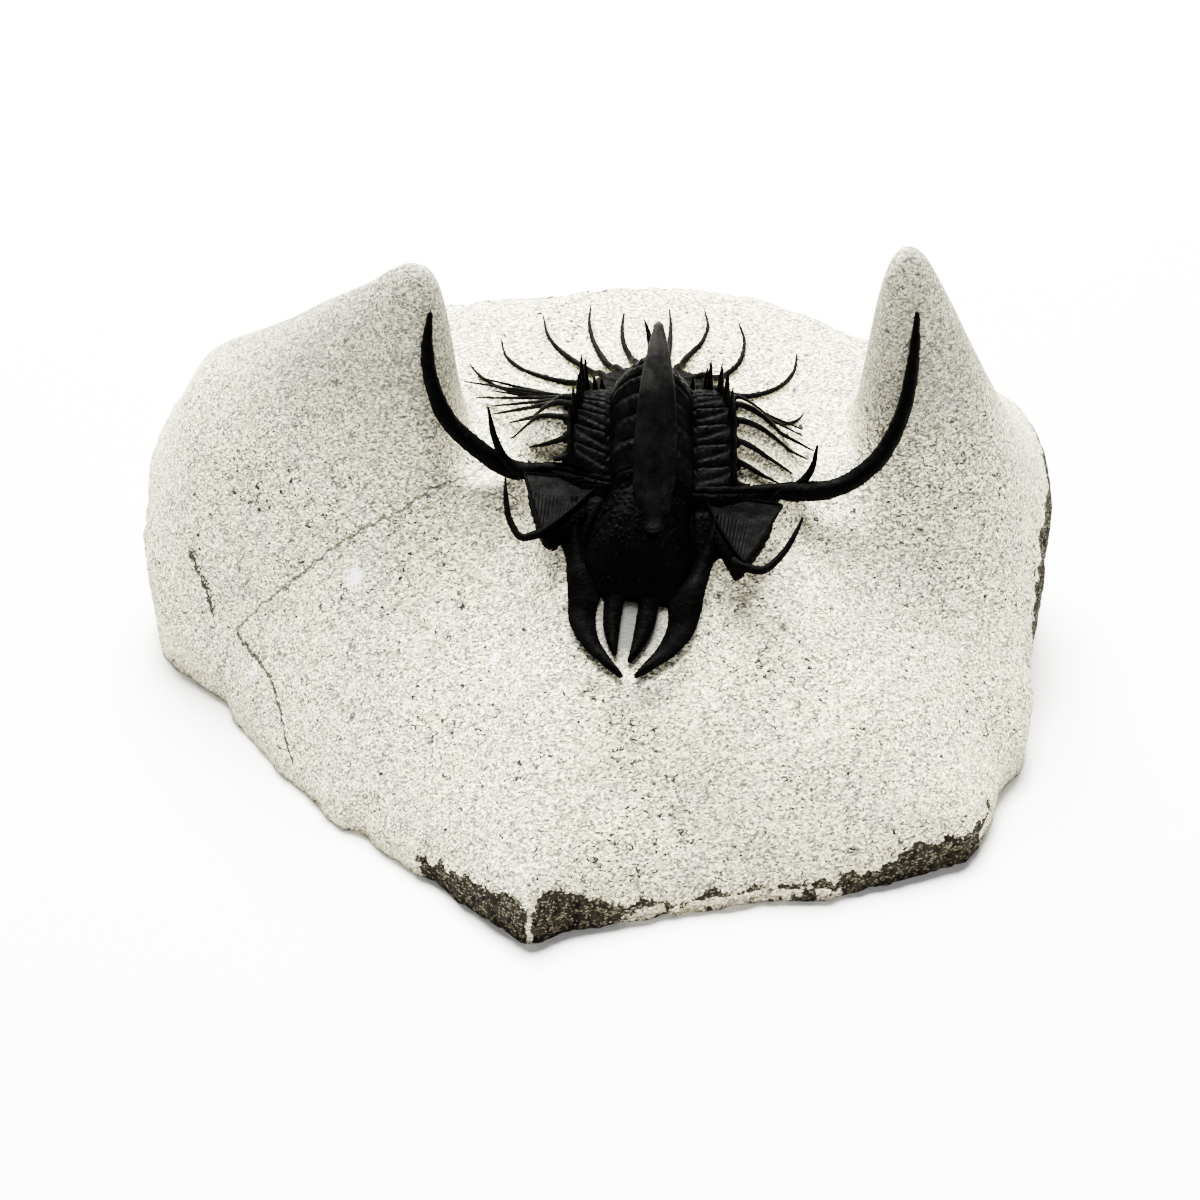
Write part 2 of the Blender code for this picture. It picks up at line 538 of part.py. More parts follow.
def make_eye(side):
    """Turret of an eye: a small foot on the cheek and a wide level lid that overhangs it."""
    bm = bmesh.new()
    n = len(LID)
    bmesh.ops.create_cone(bm, cap_ends=True, cap_tris=False, segments=n, radius1=1.0, radius2=1.0, depth=2.0)
    for vert in bm.verts:
        k = round(math.atan2(vert.co.y, vert.co.x) / (2 * math.pi) * n) % n
        if vert.co.z > 0:
            u, v, z = LID[k]
            z = z - head_roll(side * u, v)
        else:
            u, v = EYE_FOOT[k]
            z = float(head_height(np.array(side * u), np.array(v))) - 0.6
            z = max(z, float(ground(*from_head(side * u - 0.3, v))) + GAP + 0.2)
        x, y = from_head(side * u - 0.3, v)
        vert.co = Vector((x, y, z)) * MM
    bmesh.ops.triangulate(bm, faces=bm.faces)
    return finish_mesh(bm, "eye")


def head_plan(s, b):
    """Plan of the head shield: s runs across it and b from its back border to its front."""
    side = float(smooth(HEAD_HALF, b))
    u = s * side
    v = -3.4 + (HEAD_FRONT + 3.4) * b
    border = 0.75 - 0.0144 * u * u
    v = v + (border + 3.4) * (1 - b) ** 3
    return u + float(smooth(HEAD_SHIFT, v)), v


def make_head():
    def plan(a, b):
        return head_plan(2 * a - 1, b)

    def outer(a, b):
        u, v = plan(a, b)
        return head_point(u, v, 0.0)

    def inner(a, b):
        u, v = plan(a, b)
        p = head_point(u, v, 0.0)
        return (p[0], p[1], p[2] - SHELL * 1.15)

    body = sheet("cephalon", 16, 8, outer, inner)
    parts = [make_eye(-1), make_eye(1)]
    for k, table in enumerate(PRONGS):
        rows = along(from_head_rows(table, PRONG_DEEP), 7)
        rows[:, 4] = np.minimum(rows[:, 4], rows[:, 3] * 1.1)
        parts.append(tube(f"prong_{k}", rows, 6))
    for k, (line, count, sides) in enumerate(((GENAL_LEFT, 9, 6), (GENAL_RIGHT, 9, 6), (SIDE_LEFT, 5, 5),
                                              (SIDE_RIGHT, 5, 5), (EYE_HORN_LEFT, 8, 5), (EYE_HORN_RIGHT, 8, 5))):
        rows = along([(*p, p[3]) for p in line], count)
        parts.append(tube(f"head_spine_{k}", rows, sides, (0, 1, 0)))
    rows = along(HORN, 8)
    parts.append(tube("horn", rows, 8, (0, 1, 0)))
    return combine(body, parts, "UNION", SPARE)


def core(name, columns, rows, place):
    """Stone left standing inside the shell."""
    def low(a, b):
        p = place(a, b)
        return (p[0], p[1], 21.0)
    return sheet(name, columns, rows, place, low)


def thorax_core():
    """Stone inside the thorax, row for row beneath its segments."""
    n = len(columns_at(0, 1))

    def place(a, b):
        k = round(b * 11)
        x = columns_at(k, 1)[round(a * (n - 1))]
        return thorax_point(x, cut_line(k, x), SHELL + GAP + 0.15)
    return core("thorax_core", n - 1, 11, place)


def tail_core():
    def place(a, b):
        x, y = tail_plan(0.2 + 0.6 * a, 0.02 + 0.7 * b)
        return (x, y, tail_face(x, y) - 0.7 - GAP - 0.3)
    return core("tail_core", 6, 4, place)


def head_core():
    def place(a, b):
        u, v = head_plan(0.76 * (2 * a - 1), 0.06 + 0.74 * b)
        x, y = from_head(u, v)
        return (x, y, float(head_height(np.array(u), np.array(v))) - SHELL * 1.15 - 1.5)
    return core("head_core", 10, 8, place)


def stone_blank():
    """The block with its ridges and pillars, thinned to plane facets and cut flat below."""
    bm = bmesh.new()
    bmesh.ops.create_uvsphere(bm, u_segments=AROUND, v_segments=RINGS, radius=1.0)
    co = np.array([vert.co[:] for vert in bm.verts])
    ang = np.degrees(np.arctan2(co[:, 1], co[:, 0]))
    tilt = np.arcsin(np.clip(co[:, 2], -1, 1)) / (math.pi / 2)
    share = 1 - np.abs(tilt)
    foot = read_ring(FOOT, ang)
    rim = read_ring(RIM, ang)
    down = np.clip((1 - share) / 0.1, 0, 1)
    under = tilt < -1e-6
    r = np.where(under, (foot - 0.07 * rim * down) * np.where(down >= 1, share / 0.9, 1.0), foot * share)
    x = CENTRE[0] + np.cos(np.radians(ang)) * r
    y = CENTRE[1] + np.sin(np.radians(ang)) * r
    z = np.where(under, rim * (1 - down) - 1.5 * down, ground(x, y))
    for vert, px, py, pz in zip(bm.verts, x, y, z):
        vert.co = Vector((px, py, pz)) * MM
    stone = finish_mesh(bm, "matrix")
    bpy.context.scene.collection.objects.link(stone)
    mod = stone.modifiers.new("thin", "DECIMATE")
    mod.ratio = STONE_RATIO
    stone.data = evaluated(stone, "matrix")
    stone.modifiers.clear()
    bpy.context.scene.collection.objects.unlink(stone)
    bm = bmesh.new()
    bm.from_mesh(stone.data)
    cut = bmesh.ops.bisect_plane(bm, geom=bm.verts[:] + bm.edges[:] + bm.faces[:], plane_co=(0, 0, 0),
                                 plane_no=(0, 0, 1), clear_inner=True)
    rim_edges = [g for g in cut["geom_cut"] if isinstance(g, bmesh.types.BMEdge)]
    bmesh.ops.holes_fill(bm, edges=rim_edges, sides=0)
    bmesh.ops.triangulate(bm, faces=bm.faces)
    bm.to_mesh(stone.data)
    bm.free()
    return stone


def make_stone():
    grooves = []
    for k, line in enumerate((GENAL_LEFT, GENAL_RIGHT)):
        rows = along([(*p, p[3]) for p in line], 9)
        rows[:, 3:] += GAP + 0.12
        grooves.append(tube(f"groove_{k}", rows, 6, (0, 1, 0)))
    stone = combine(stone_blank(), grooves, "DIFFERENCE", SPARE)
    return combine(stone, [thorax_core(), tail_core(), head_core()], "UNION", SPARE)


clear_scene()
ITEM = group("trilobite_fossil")
SPARE = group("cutters")
SHELL_MAT = material("black_calcite_shell", (0.012, 0.012, 0.014), 0.38)
STONE_MAT = material("pale_limestone", (0.72, 0.68, 0.61), 0.92)

matrix = make_stone()
matrix.data.materials.clear()
matrix.data.materials.append(STONE_MAT)
ITEM.objects.link(matrix)
pieces = [make_head()]
for number in range(SEGMENTS):
    pieces.append(make_segment(number))
pieces.append(make_tail())
for piece in pieces:
    piece.data.materials.clear()
    piece.data.materials.append(SHELL_MAT)
    ITEM.objects.link(piece)
for spare in SPARE.objects:
    spare.hide_render = True
    spare.display_type = "WIRE"
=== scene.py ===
"""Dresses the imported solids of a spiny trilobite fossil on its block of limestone.

The first tables and height functions follow those that shape the solids; the prongs and a few
upright spines were set once more against the photo. Sizes are in millimetres and angles in
degrees. Each detailed piece stands for one solid, in its place.
"""
import math

import bmesh
import bpy
import numpy as np
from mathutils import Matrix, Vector


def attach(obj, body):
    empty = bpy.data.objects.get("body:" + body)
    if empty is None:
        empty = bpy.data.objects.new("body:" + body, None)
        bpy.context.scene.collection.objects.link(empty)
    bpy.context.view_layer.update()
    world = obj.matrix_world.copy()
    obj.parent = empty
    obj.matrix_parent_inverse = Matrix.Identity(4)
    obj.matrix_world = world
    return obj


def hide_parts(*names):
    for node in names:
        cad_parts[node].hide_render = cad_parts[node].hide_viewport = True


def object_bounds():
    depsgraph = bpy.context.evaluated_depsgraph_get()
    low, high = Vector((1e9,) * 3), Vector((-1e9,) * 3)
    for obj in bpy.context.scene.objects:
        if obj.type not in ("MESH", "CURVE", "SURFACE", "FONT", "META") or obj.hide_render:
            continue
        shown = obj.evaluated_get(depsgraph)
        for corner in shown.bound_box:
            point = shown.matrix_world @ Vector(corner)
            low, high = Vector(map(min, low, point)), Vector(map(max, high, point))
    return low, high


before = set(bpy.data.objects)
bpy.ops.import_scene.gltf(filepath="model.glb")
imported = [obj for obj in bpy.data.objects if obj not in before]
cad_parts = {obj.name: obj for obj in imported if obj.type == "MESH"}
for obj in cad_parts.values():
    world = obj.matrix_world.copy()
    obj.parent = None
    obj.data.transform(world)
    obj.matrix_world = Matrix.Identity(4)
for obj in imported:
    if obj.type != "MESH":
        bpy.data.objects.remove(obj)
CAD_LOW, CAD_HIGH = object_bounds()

MM = 0.001

# ---------------------------------------------------------------- the shapes of the solids
CENTRE = (0.0, 6.0)    # middle of the block
FLOOR = 33.0           # level stone behind the thorax
BANK = 8.0             # how far out the stone slopes down beside the thorax
BANK_CLEAR = 2.3       # how far the stone stays below the thorax
CREST_BLEND = 16.0     # how sharply the parts of a crest meet
# Gentle unevenness of the prepared stone: waves by x, by y, phase, height.
WAVES = [(0.11, 0.05, 0.3, 0.5), (-0.07, 0.13, 1.7, 0.45), (0.19, 0.17, 2.6, 0.28),
    (0.31, -0.22, 4.0, 0.18), (-0.26, 0.35, 5.1, 0.14)]
# Foot of the block, (x, y), anticlockwise from the front corner.
OUTLINE = [(-8.8, -46.2), (-3.6, -43.2), (4.9, -41.2), (12.2, -39.6), (20.7, -38.2),
    (28.0, -38.0), (33.1, -35.6), (40.5, -33.4), (46.8, -30.4), (50.0, -23.6), (51.0, -18.8),
    (54.2, -14.2), (55.4, -5.0), (56.5, 2.0), (57.8, 10.0), (59.6, 17.0), (58.8, 23.0),
    (55.6, 28.6), (50.0, 32.0), (42.0, 34.2), (33.0, 37.6), (26.5, 41.2), (18.0, 44.9),
    (5.0, 45.8), (-6.0, 43.6), (-20.0, 42.6), (-34.0, 41.0), (-46.0, 37.2), (-55.0, 30.8),
    (-59.4, 23.0), (-59.8, 14.0), (-58.2, 7.6), (-54.0, 3.4), (-49.6, -0.8), (-43.8, -10.0),
    (-36.8, -19.6), (-32.8, -24.6), (-27.6, -28.6), (-21.6, -34.2), (-15.6, -39.8)]
# Height of the broken rim by angle, and how far in the stone climbs to its level top.
RIM_TABLE = [(-180, 6.0), (-174, 4.0), (-168, 2.2), (-150, 2.0), (-130, 2.2), (-112, 3.6),
    (-100, 4.4), (-90, 3.2), (-75, 2.2), (-60, 2.4), (-45, 3.6), (-32, 4.2), (-21, 5.0),
    (-14, 8.0), (-6, 12.0), (2, 16.5), (10, 20.0), (18, 23.5), (26, 27.5), (36, 30.6), (50, 32.2),
    (90, 33.2), (125, 32.4), (146, 30.0), (157, 26.0), (166, 20.0), (173, 13.0)]
CLIMB_TABLE = [(-180, 30), (-165, 36), (-150, 46), (-135, 54), (-120, 57), (-90, 56), (-60, 58),
    (-40, 56), (-25, 50), (-10, 40), (5, 28), (20, 18), (35, 10), (90, 8), (125, 9), (150, 14),
    (166, 22)]
# Crests of the two ridges that end in the pillars: (x, y, height).
LEFT_CREST = [(-22.4, 14.0, 57.4), (-26.0, 15.2, 56.4), (-32.0, 17.4, 50.4), (-38.2, 20.0, 44.8),
    (-44.5, 22.0, 40.8), (-51.0, 23.6, 38.4), (-56.5, 23.0, 34.5)]
RIGHT_CREST = [(37.6, 14.0, 58.6), (39.6, 14.0, 57.6), (43.0, 14.0, 51.4), (46.6, 13.6, 45.2),
    (50.4, 13.2, 39.4)]

BODY_X = 6.4           # middle line of the thorax
TAIL_END = 26.2
TAIL_WIDE = 8.6        # half width of the tail shield at its front, which is at TAIL_FRONT
TAIL_FRONT = 15.6
FLANK = 1.9            # width of the bent-down edge of the thorax
SEGMENTS = 11
CUTS = [-1.3, 0.9, 3.0, 4.9, 6.6, 8.2, 9.7, 11.1, 12.4, 13.6, 14.7, 15.8]
SKEW = 0.144           # the front of the thorax turns with the head and the rear does not
BOW = 1.75             # how far the segments sweep back at their ends
# Level of the pleural deck along the thorax and the tail shield: y, height.
DECK = [(-3, 34.9), (-1, 36.3), (1, 37.9), (3, 39.6), (5, 41.2), (7, 42.5), (9, 42.8), (11, 41.6),
    (12.5, 40.3), (14, 38.7), (15.5, 37.2), (17, 36.3), (19, 35.8), (22, 35.5), (25, 35.2),
    (27, 35.0)]
# The axial lobe's half width and height, and the half width and drop of the outer edge.
AXIS_HALF = [(-2, 5.3), (4, 5.2), (10, 5.0), (14, 4.5), (17, 3.9), (21, 3.0), (26, 1.4)]
AXIS_HIGH = [(-2, 3.6), (1, 4.0), (4, 4.7), (7, 5.1), (9, 5.4), (11, 5.5), (13, 5.4), (17, 4.4),
    (21, 3.0), (24, 1.8), (26, 0.8)]
EDGE_HALF = [(-2, 11.2), (4, 11.0), (9, 10.6), (12, 10.0), (15.5, 8.9), (17, 8.6)]
EDGE_DROP = [(-2, 1.8), (2, 2.0), (4, 1.7), (6, 1.2), (8, 0.6), (11, 0.5), (13, 0.6), (15.5, 0.7),
    (17, 0.5)]
# Upright spines of each segment: distance from the middle line, height.
UPRIGHT_LEFT = [(10.0, 4.4), (10.0, 4.4), (9.6, 4.4), (9.0, 4.4), (8.8, 3.7), (8.6, 5.7),
    (8.1, 5.2), (7.0, 2.6), (6.1, 2.6), (5.8, 1.9), (5.4, 1.5)]
UPRIGHT_RIGHT = [(10.1, 4.4), (10.1, 4.4), (10.1, 4.4), (9.9, 4.6), (9.3, 4.7), (8.6, 4.5),
    (7.3, 4.8), (6.9, 3.8), (5.2, 2.9), (5.6, 1.9), (5.4, 1.5)]
# Heights of the spines on the middle line, all leaning to the left of the photo.
MEDIAN = [0.5, 0.6, 0.8, 1.2, 2.4, 4.1, 5.1, 4.2, 3.2, 2.4, 1.8]
# Marginal spines of the tail shield, root first, (x, y).
TAIL_SPINES = [
    [(-1.6, 17.6), (-6.2, 20.6), (-9.4, 21.1), (-12.5, 22.3), (-15.6, 25.2), (-16.9, 27.6)],
    [(-0.4, 20.0), (-3.4, 23.6), (-6.8, 24.5), (-9.8, 26.2), (-12.2, 29.2), (-12.9, 32.8)],
    [(1.0, 22.2), (-1.6, 26.6), (-5.0, 30.0), (-6.8, 33.6), (-7.5, 38.2)],
    [(3.0, 24.0), (0.6, 28.2), (-0.9, 32.5), (-1.4, 36.7), (-1.2, 40.6)],
    [(4.9, 25.2), (3.9, 28.8), (3.1, 32.0), (2.9, 35.0), (3.2, 39.2)],
    [(8.1, 25.2), (8.8, 28.8), (9.2, 33.0), (9.3, 36.6), (9.2, 39.8)],
    [(9.6, 24.0), (11.0, 28.4), (13.2, 32.2), (14.2, 36.2), (13.8, 39.8)],
    [(11.4, 22.2), (15.6, 25.4), (17.8, 27.8), (18.9, 32.8), (18.3, 36.8)],
    [(13.2, 20.6), (17.4, 20.4), (20.0, 20.8), (22.8, 22.4), (25.0, 25.8), (25.7, 30.2)],
    [(14.4, 18.2), (19.0, 15.8), (22.8, 14.4), (25.0, 15.4), (26.2, 17.5)]]

# Head frame: origin at the middle of the back border, v forwards, u to the right of the photo.
HEAD_AT = (6.5, -1.0)
HEAD_YAW = math.radians(8.3)
HEAD_ROLL = 0.075
HEAD_FRONT = 12.4      # v of the front of the shield
HEAD_BACK = 3.4        # how far its cheeks may reach behind the origin
BORDER_V = 0.75        # v of the back border on the middle line
BORDER_SWEEP = 0.0144  # how much the back border sweeps back, by u squared
PRONG_DEEP = 0.55      # half depth of a prong
PRONG_LEAN = 0.03      # how much lower the prongs are to the right
# Level of the head by v, half width by its share from back to front, and the glabella by v.
HEAD_DECK = [(-5, 36.4), (-3, 36.5), (0, 36.0), (2, 35.3), (4, 34.1), (6, 32.7), (8, 31.2),
    (10, 29.7), (12, 28.2), (14, 27.0), (16, 25.9), (18, 24.9), (20, 24.0), (21.8, 23.3),
    (28, 20.0), (36, 15.4)]
HEAD_HALF = [(0.0, 16.2), (0.12, 15.0), (0.28, 13.0), (0.46, 11.6), (0.6, 10.4), (0.74, 9.0),
    (0.88, 8.5), (1.0, 7.4)]
HEAD_SHIFT = [(-3, 0.0), (0, 0.0), (4, -0.3), (8, -0.6), (12, -0.7)]
GLABELLA_HALF = [(-2, 4.9), (2, 5.2), (6, 6.2), (9, 7.0), (11.5, 6.6), (13, 5.0)]
GLABELLA_HIGH = [(-2, 3.4), (1, 3.2), (4, 3.6), (7, 4.0), (9.5, 3.4), (11.2, 1.8), (12.4, 0.5),
    (13, 0.0)]
# Lid of an eye turret (u outwards, v, z) and its foot on the cheek (u, v).
LID = [(6.0, -0.3, 35.5), (16.4, -0.5, 35.1), (14.5, 4.6, 34.3), (13.3, 7.8, 33.8),
    (12.6, 9.5, 33.5), (10.5, 6.9, 34.0), (8.7, 4.3, 34.6), (7.3, 1.9, 35.1)]
EYE_FOOT = [(6.8, 0.4), (13.0, -0.3), (13.0, 3.2), (12.3, 5.6), (11.4, 7.5), (9.8, 6.5),
    (8.1, 4.9), (7.0, 2.6)]
# Spines of the head, named by the side of the photo they are on: (x, y, z, radius).
GENAL_LEFT = [(-6.5, 1.6, 35.4, 1.0), (-10.8, 3.2, 35.2, 1.25), (-15.2, 4.0, 37.9, 1.2),
    (-19.0, 5.6, 41.4, 1.1), (-20.8, 7.4, 45.6, 0.95), (-21.3, 8.8, 49.6, 0.75),
    (-20.8, 10.0, 54.2, 0.3)]
GENAL_RIGHT = [(19.5, 0.4, 34.8, 1.0), (24.0, 0.0, 34.2, 1.25), (29.2, 0.0, 34.8, 1.2),
    (34.0, 1.4, 37.6, 1.15), (37.0, 4.0, 42.0, 1.0), (38.3, 6.4, 46.8, 0.85),
    (38.7, 8.0, 51.0, 0.65), (38.8, 9.2, 54.8, 0.3)]
SIDE_LEFT = [(-9.6, 2.0, 35.4, 0.8), (-11.6, 2.6, 37.0, 0.62), (-13.1, 3.5, 40.2, 0.45),
    (-13.8, 4.9, 43.6, 0.16)]
SIDE_RIGHT = [(21.4, -0.2, 34.0, 0.8), (24.4, 0.3, 34.8, 0.62), (26.2, 1.2, 36.8, 0.45),
    (26.9, 2.6, 39.4, 0.16)]
EYE_HORN_LEFT = [(-6.7, -7.3, 33.5, 0.8), (-7.7, -8.4, 34.2, 0.6), (-9.6, -9.2, 34.4, 0.5),
    (-11.0, -7.6, 35.6, 0.42), (-11.5, -5.4, 37.2, 0.34), (-11.6, -3.2, 38.8, 0.14)]
EYE_HORN_RIGHT = [(16.3, -10.9, 31.8, 0.8), (17.6, -12.0, 32.0, 0.62), (19.8, -12.4, 31.8, 0.55),
    (22.0, -11.0, 32.8, 0.45), (23.8, -8.8, 34.4, 0.34), (24.8, -7.2, 35.8, 0.14)]
# The great horn: x, y, z, half width, half depth.
HORN = [(6.5, -6.3, 36.4, 1.9, 1.2), (6.6, -4.8, 38.3, 2.3, 2.0), (6.75, -2.4, 42.0, 2.4, 1.85),
    (6.9, 0.1, 45.8, 2.25, 1.6), (7.0, 2.5, 49.3, 1.85, 1.35), (7.1, 4.4, 52.6, 1.25, 1.0),
    (7.15, 5.8, 55.6, 0.5, 0.5)]
# Prongs of the rostrum in the head frame: u, v, half width.
PRONGS = [
    [(-6.3, 10.6, 1.9), (-6.9, 13.0, 1.8), (-6.5, 15.4, 1.65), (-5.0, 18.0, 1.15),
     (-2.8, 20.0, 0.7), (-0.8, 21.6, 0.3)],
    [(-2.9, 11.0, 1.15), (-3.0, 13.0, 1.2), (-2.9, 15.2, 1.1), (-2.6, 17.0, 0.8),
     (-2.0, 18.9, 0.3)],
    [(1.3, 11.0, 1.2), (1.3, 13.0, 1.25), (1.1, 15.4, 1.15), (0.6, 17.6, 0.8), (-0.1, 19.6, 0.3)],
    [(5.4, 10.6, 1.9), (6.0, 13.0, 1.85), (5.5, 15.4, 1.75), (4.2, 17.8, 1.3), (2.4, 19.8, 0.8),
     (0.9, 21.4, 0.3)]]


def smooth(table, x):
    """Reads a table through a smooth curve."""
    xs = np.array([row[0] for row in table], float)
    ys = np.array([row[1] for row in table], float)
    slopes = np.gradient(ys, xs)
    x = np.clip(np.asarray(x, float), xs[0], xs[-1])
    i = np.clip(np.searchsorted(xs, x, side="right") - 1, 0, len(xs) - 2)
    h = xs[i + 1] - xs[i]
    t = (x - xs[i]) / h
    a = (1 + 2 * t) * (1 - t) ** 2
    b = t * (1 - t) ** 2
    c = t * t * (3 - 2 * t)
    d = t * t * (t - 1)
    return a * ys[i] + b * h * slopes[i] + c * ys[i + 1] + d * h * slopes[i + 1]


def step(lo, hi, x):
    """0 at lo, 1 at hi, smooth between."""
    t = np.clip((x - lo) / (hi - lo), 0.0, 1.0)
    return t * t * (3 - 2 * t)


def unit(x):
    """x kept between 0 and 1."""
    return np.clip(x, 0, 1)


def above(x):
    """x where it is more than 0, and otherwise 0."""
    return np.clip(x, 0, None)


def bell(d, width, power=2):
    """1 where d is 0, falling off over about width."""
    return np.exp(-(d / width) ** power)


def polar(x, y):
    """Direction in degrees and distance from the middle of the block."""
    dx, dy = x - CENTRE[0], y - CENTRE[1]
    return np.degrees(np.arctan2(dy, dx)), np.hypot(dx, dy)


TURN = np.arange(-180.0, 180.0, 0.5)


def ring(table, blur):
    """Values round the block for every half degree, rounded off over a few degrees."""
    raw = np.interp(TURN, *zip(*sorted(table)), period=360.0)
    if not blur:
        return raw
    reach = int(blur * 6)
    k = np.exp(-0.5 * (np.arange(-reach, reach + 1) / (blur * 2)) ** 2)
    wide = np.concatenate([raw[-reach:], raw, raw[:reach]])
    return np.convolve(wide, k / k.sum(), mode="valid")


def read_ring(values, angle):
    return np.interp(angle, TURN, values, period=360.0)


FOOT = ring([polar(x, y) for x, y in OUTLINE], 0)
FOOT_SMOOTH = ring([polar(x, y) for x, y in OUTLINE], 7.0)
RIM = ring(RIM_TABLE, 2.0)
CLIMB = ring(CLIMB_TABLE, 6.0)


def crest_share(x, y, crest, inward):
    """Height added by a ridge: a sharp fall at its inner end, a long one in front."""
    pts = np.array(crest)
    s = np.linspace(0, len(pts) - 1, 26)
    line = np.stack([np.interp(s, range(len(pts)), pts[:, k]) for k in range(3)], 1)
    total = 0.0
    for px, py, pz in line:
        far = abs(px - pts[0, 0])
        dx, dy = x - px, y - py
        d = np.hypot(dx, dy) + 1e-6
        inner = unit(dx * inward / d)
        front = unit(-dy / d)
        back = unit(dy / d)
        reach = 6.6 + (1.6 + 0.34 * far) * front ** 2 + 0.12 * far * back ** 2
        reach = reach + (4.5 - reach) * inner ** 1.3
        share = (pz - FLOOR + 1.6) * bell(d, reach, 1.85 + 2.6 * inner ** 1.5)
        total = total + above(share) ** CREST_BLEND
    return total ** (1 / CREST_BLEND) / 1.065


def ground(x, y):
    """Top of the stone, without the core left standing under the shell."""
    ang, r = polar(x, y)
    foot = read_ring(FOOT, ang)
    near = step(0.78, 1.0, r / foot)
    edge = above(foot * near + read_ring(FOOT_SMOOTH, ang) * (1 - near) - r)
    rim = read_ring(RIM, ang)
    climbed = unit(edge / read_ring(CLIMB, ang))
    base = rim + (FLOOR - rim) * (1 - (1 - climbed) ** 1.75) ** 0.86
    calm = 1 - 0.8 * step(-10, 2, y) * step(34, 22, np.abs(x - 6))
    uneven = sum(high * np.sin(a * x + b * y + c) for a, b, c, high in WAVES)
    base = base + uneven * step(0, 12, edge) * calm
    # the stone follows the head down, and leaves a trough round the tail
    u, v = to_head(x, y)
    beside = np.abs(u)
    under = smooth(HEAD_DECK, v) - 2.2 - HEAD_ROLL * u
    under = under - step(3.0, 7.0, beside) * step(16.0, 12.0, v)
    share = step(17.0, 8.5, beside) * step(33.0, 20.0, v) * step(1.0, 7.0, v)
    base = base + (under - base) * share
    t = np.abs(x - BODY_X)
    base = base - 0.6 * step(14.0, 9.0, t) * step(30.0, 26.0, y) * step(-4.0, 2.0, y)
    # the bank beside the thorax
    half = smooth(EDGE_HALF, y)
    rim_x = BODY_X + np.sign(x - BODY_X) * np.clip(t, half - 0.9, half)
    level = thorax_height(rim_x, y) - BANK_CLEAR
    out = unit(1 - above(t - half) / BANK) ** 1.2
    ends = step(-0.6, 3.0, y + SKEW * (x - BODY_X)) * step(17.5, 13.0, y)
    base = base + above(level - base) * out * ends
    ridge = np.maximum(crest_share(x, y, LEFT_CREST, 1.0), crest_share(x, y, RIGHT_CREST, -1.0))
    return base + ridge * step(-1.0, 7.0, edge)


def to_head(x, y):
    c, s = math.cos(HEAD_YAW), math.sin(HEAD_YAW)
    dx, dy = x - HEAD_AT[0], y - HEAD_AT[1]
    return c * dx - s * dy, -s * dx - c * dy


def from_head(u, v):
    c, s = math.cos(HEAD_YAW), math.sin(HEAD_YAW)
    return HEAD_AT[0] + c * u - s * v, HEAD_AT[1] - s * u - c * v


def thorax_height(x, y):
    """Outer face of the thorax and tail shield at a point of the plan."""
    t = np.abs(x - BODY_X)
    half = smooth(AXIS_HALF, y)
    lobe = smooth(AXIS_HIGH, y) * unit(1 - (t / half) ** 2) ** 0.72
    edge = smooth(EDGE_HALF, y)
    bend = np.clip((t - edge + FLANK) / FLANK, 0, 1.2)
    sag = 0.35 * unit((t - half) / (edge - half))
    return smooth(DECK, y) + lobe - sag - smooth(EDGE_DROP, y) * bend ** 1.6


def head_roll(u, v):
    """The head leans down to its left, most of all in front."""
    return HEAD_ROLL * u * step(-9, 7, v)


def head_half(v):
    return smooth(HEAD_HALF, unit((v + HEAD_BACK) / (HEAD_FRONT + HEAD_BACK)))


def head_out(u, v):
    """Distance from the middle line of the head, which bends a little."""
    return np.abs(u - smooth(HEAD_SHIFT, v))


def head_height(u, v):
    """Outer face of the head shield, in its own plan."""
    out = head_out(u, v)
    lobe = unit(1 - (out / smooth(GLABELLA_HALF, v)) ** 2.4) ** 0.7
    fall = 1.5 * np.clip(out / head_half(v), 0, 1.1) ** 3
    return smooth(HEAD_DECK, v) + smooth(GLABELLA_HIGH, v) * lobe - fall - head_roll(u, v)


def cut_line(k, x):
    """Where the joint in front of segment k crosses the plan, k counted from the head."""
    t = x - BODY_X
    turn = SKEW * max(0.0, 1 - k / 8)
    return CUTS[k] - turn * t + BOW * (1 - k / 16) * (t / 11) ** 2


def within(i, x, share):
    """The y of a place in segment i: share is 0 at its front joint and 1 at its rear one."""
    return cut_line(i, x) * (1 - share) + cut_line(i + 1, x) * share


# ---------------------------------------------------------------- mesh helpers
def fuzz(points, size, seed):
    """Smooth noise from -1 to 1 over an array of points, with features about size mm across."""
    q = np.asarray(points, float) / size + seed * 7.31
    base = np.floor(q).astype(np.int64)
    f = q - base
    f = f * f * f * (f * (f * 6 - 15) + 10)
    total = np.zeros(len(q))
    for corner in range(8):
        off = np.array([corner & 1, corner >> 1 & 1, corner >> 2 & 1])
        c = base + off
        h = (c[:, 0] * 73856093) ^ (c[:, 1] * 19349663) ^ (c[:, 2] * 83492791) ^ (seed * 2654435)
        h = (h ^ (h >> 13)) * 1274126177 & 0x7FFFFFFF
        h = (h ^ (h >> 15)) * 2246822519 & 0x7FFFFFFF
        weight = np.prod(np.where(off, f, 1 - f), axis=1)
        total = total + weight * ((h % 100003) / 50001.0 - 1)
    return total


def rough(points, size, seed, octaves=3):
    """Several sizes of noise added up."""
    total = 0.0
    for k in range(octaves):
        total = total + fuzz(points, size / 2 ** k, seed + k) / 2 ** k
    return total / (2 - 2 ** (1 - octaves))


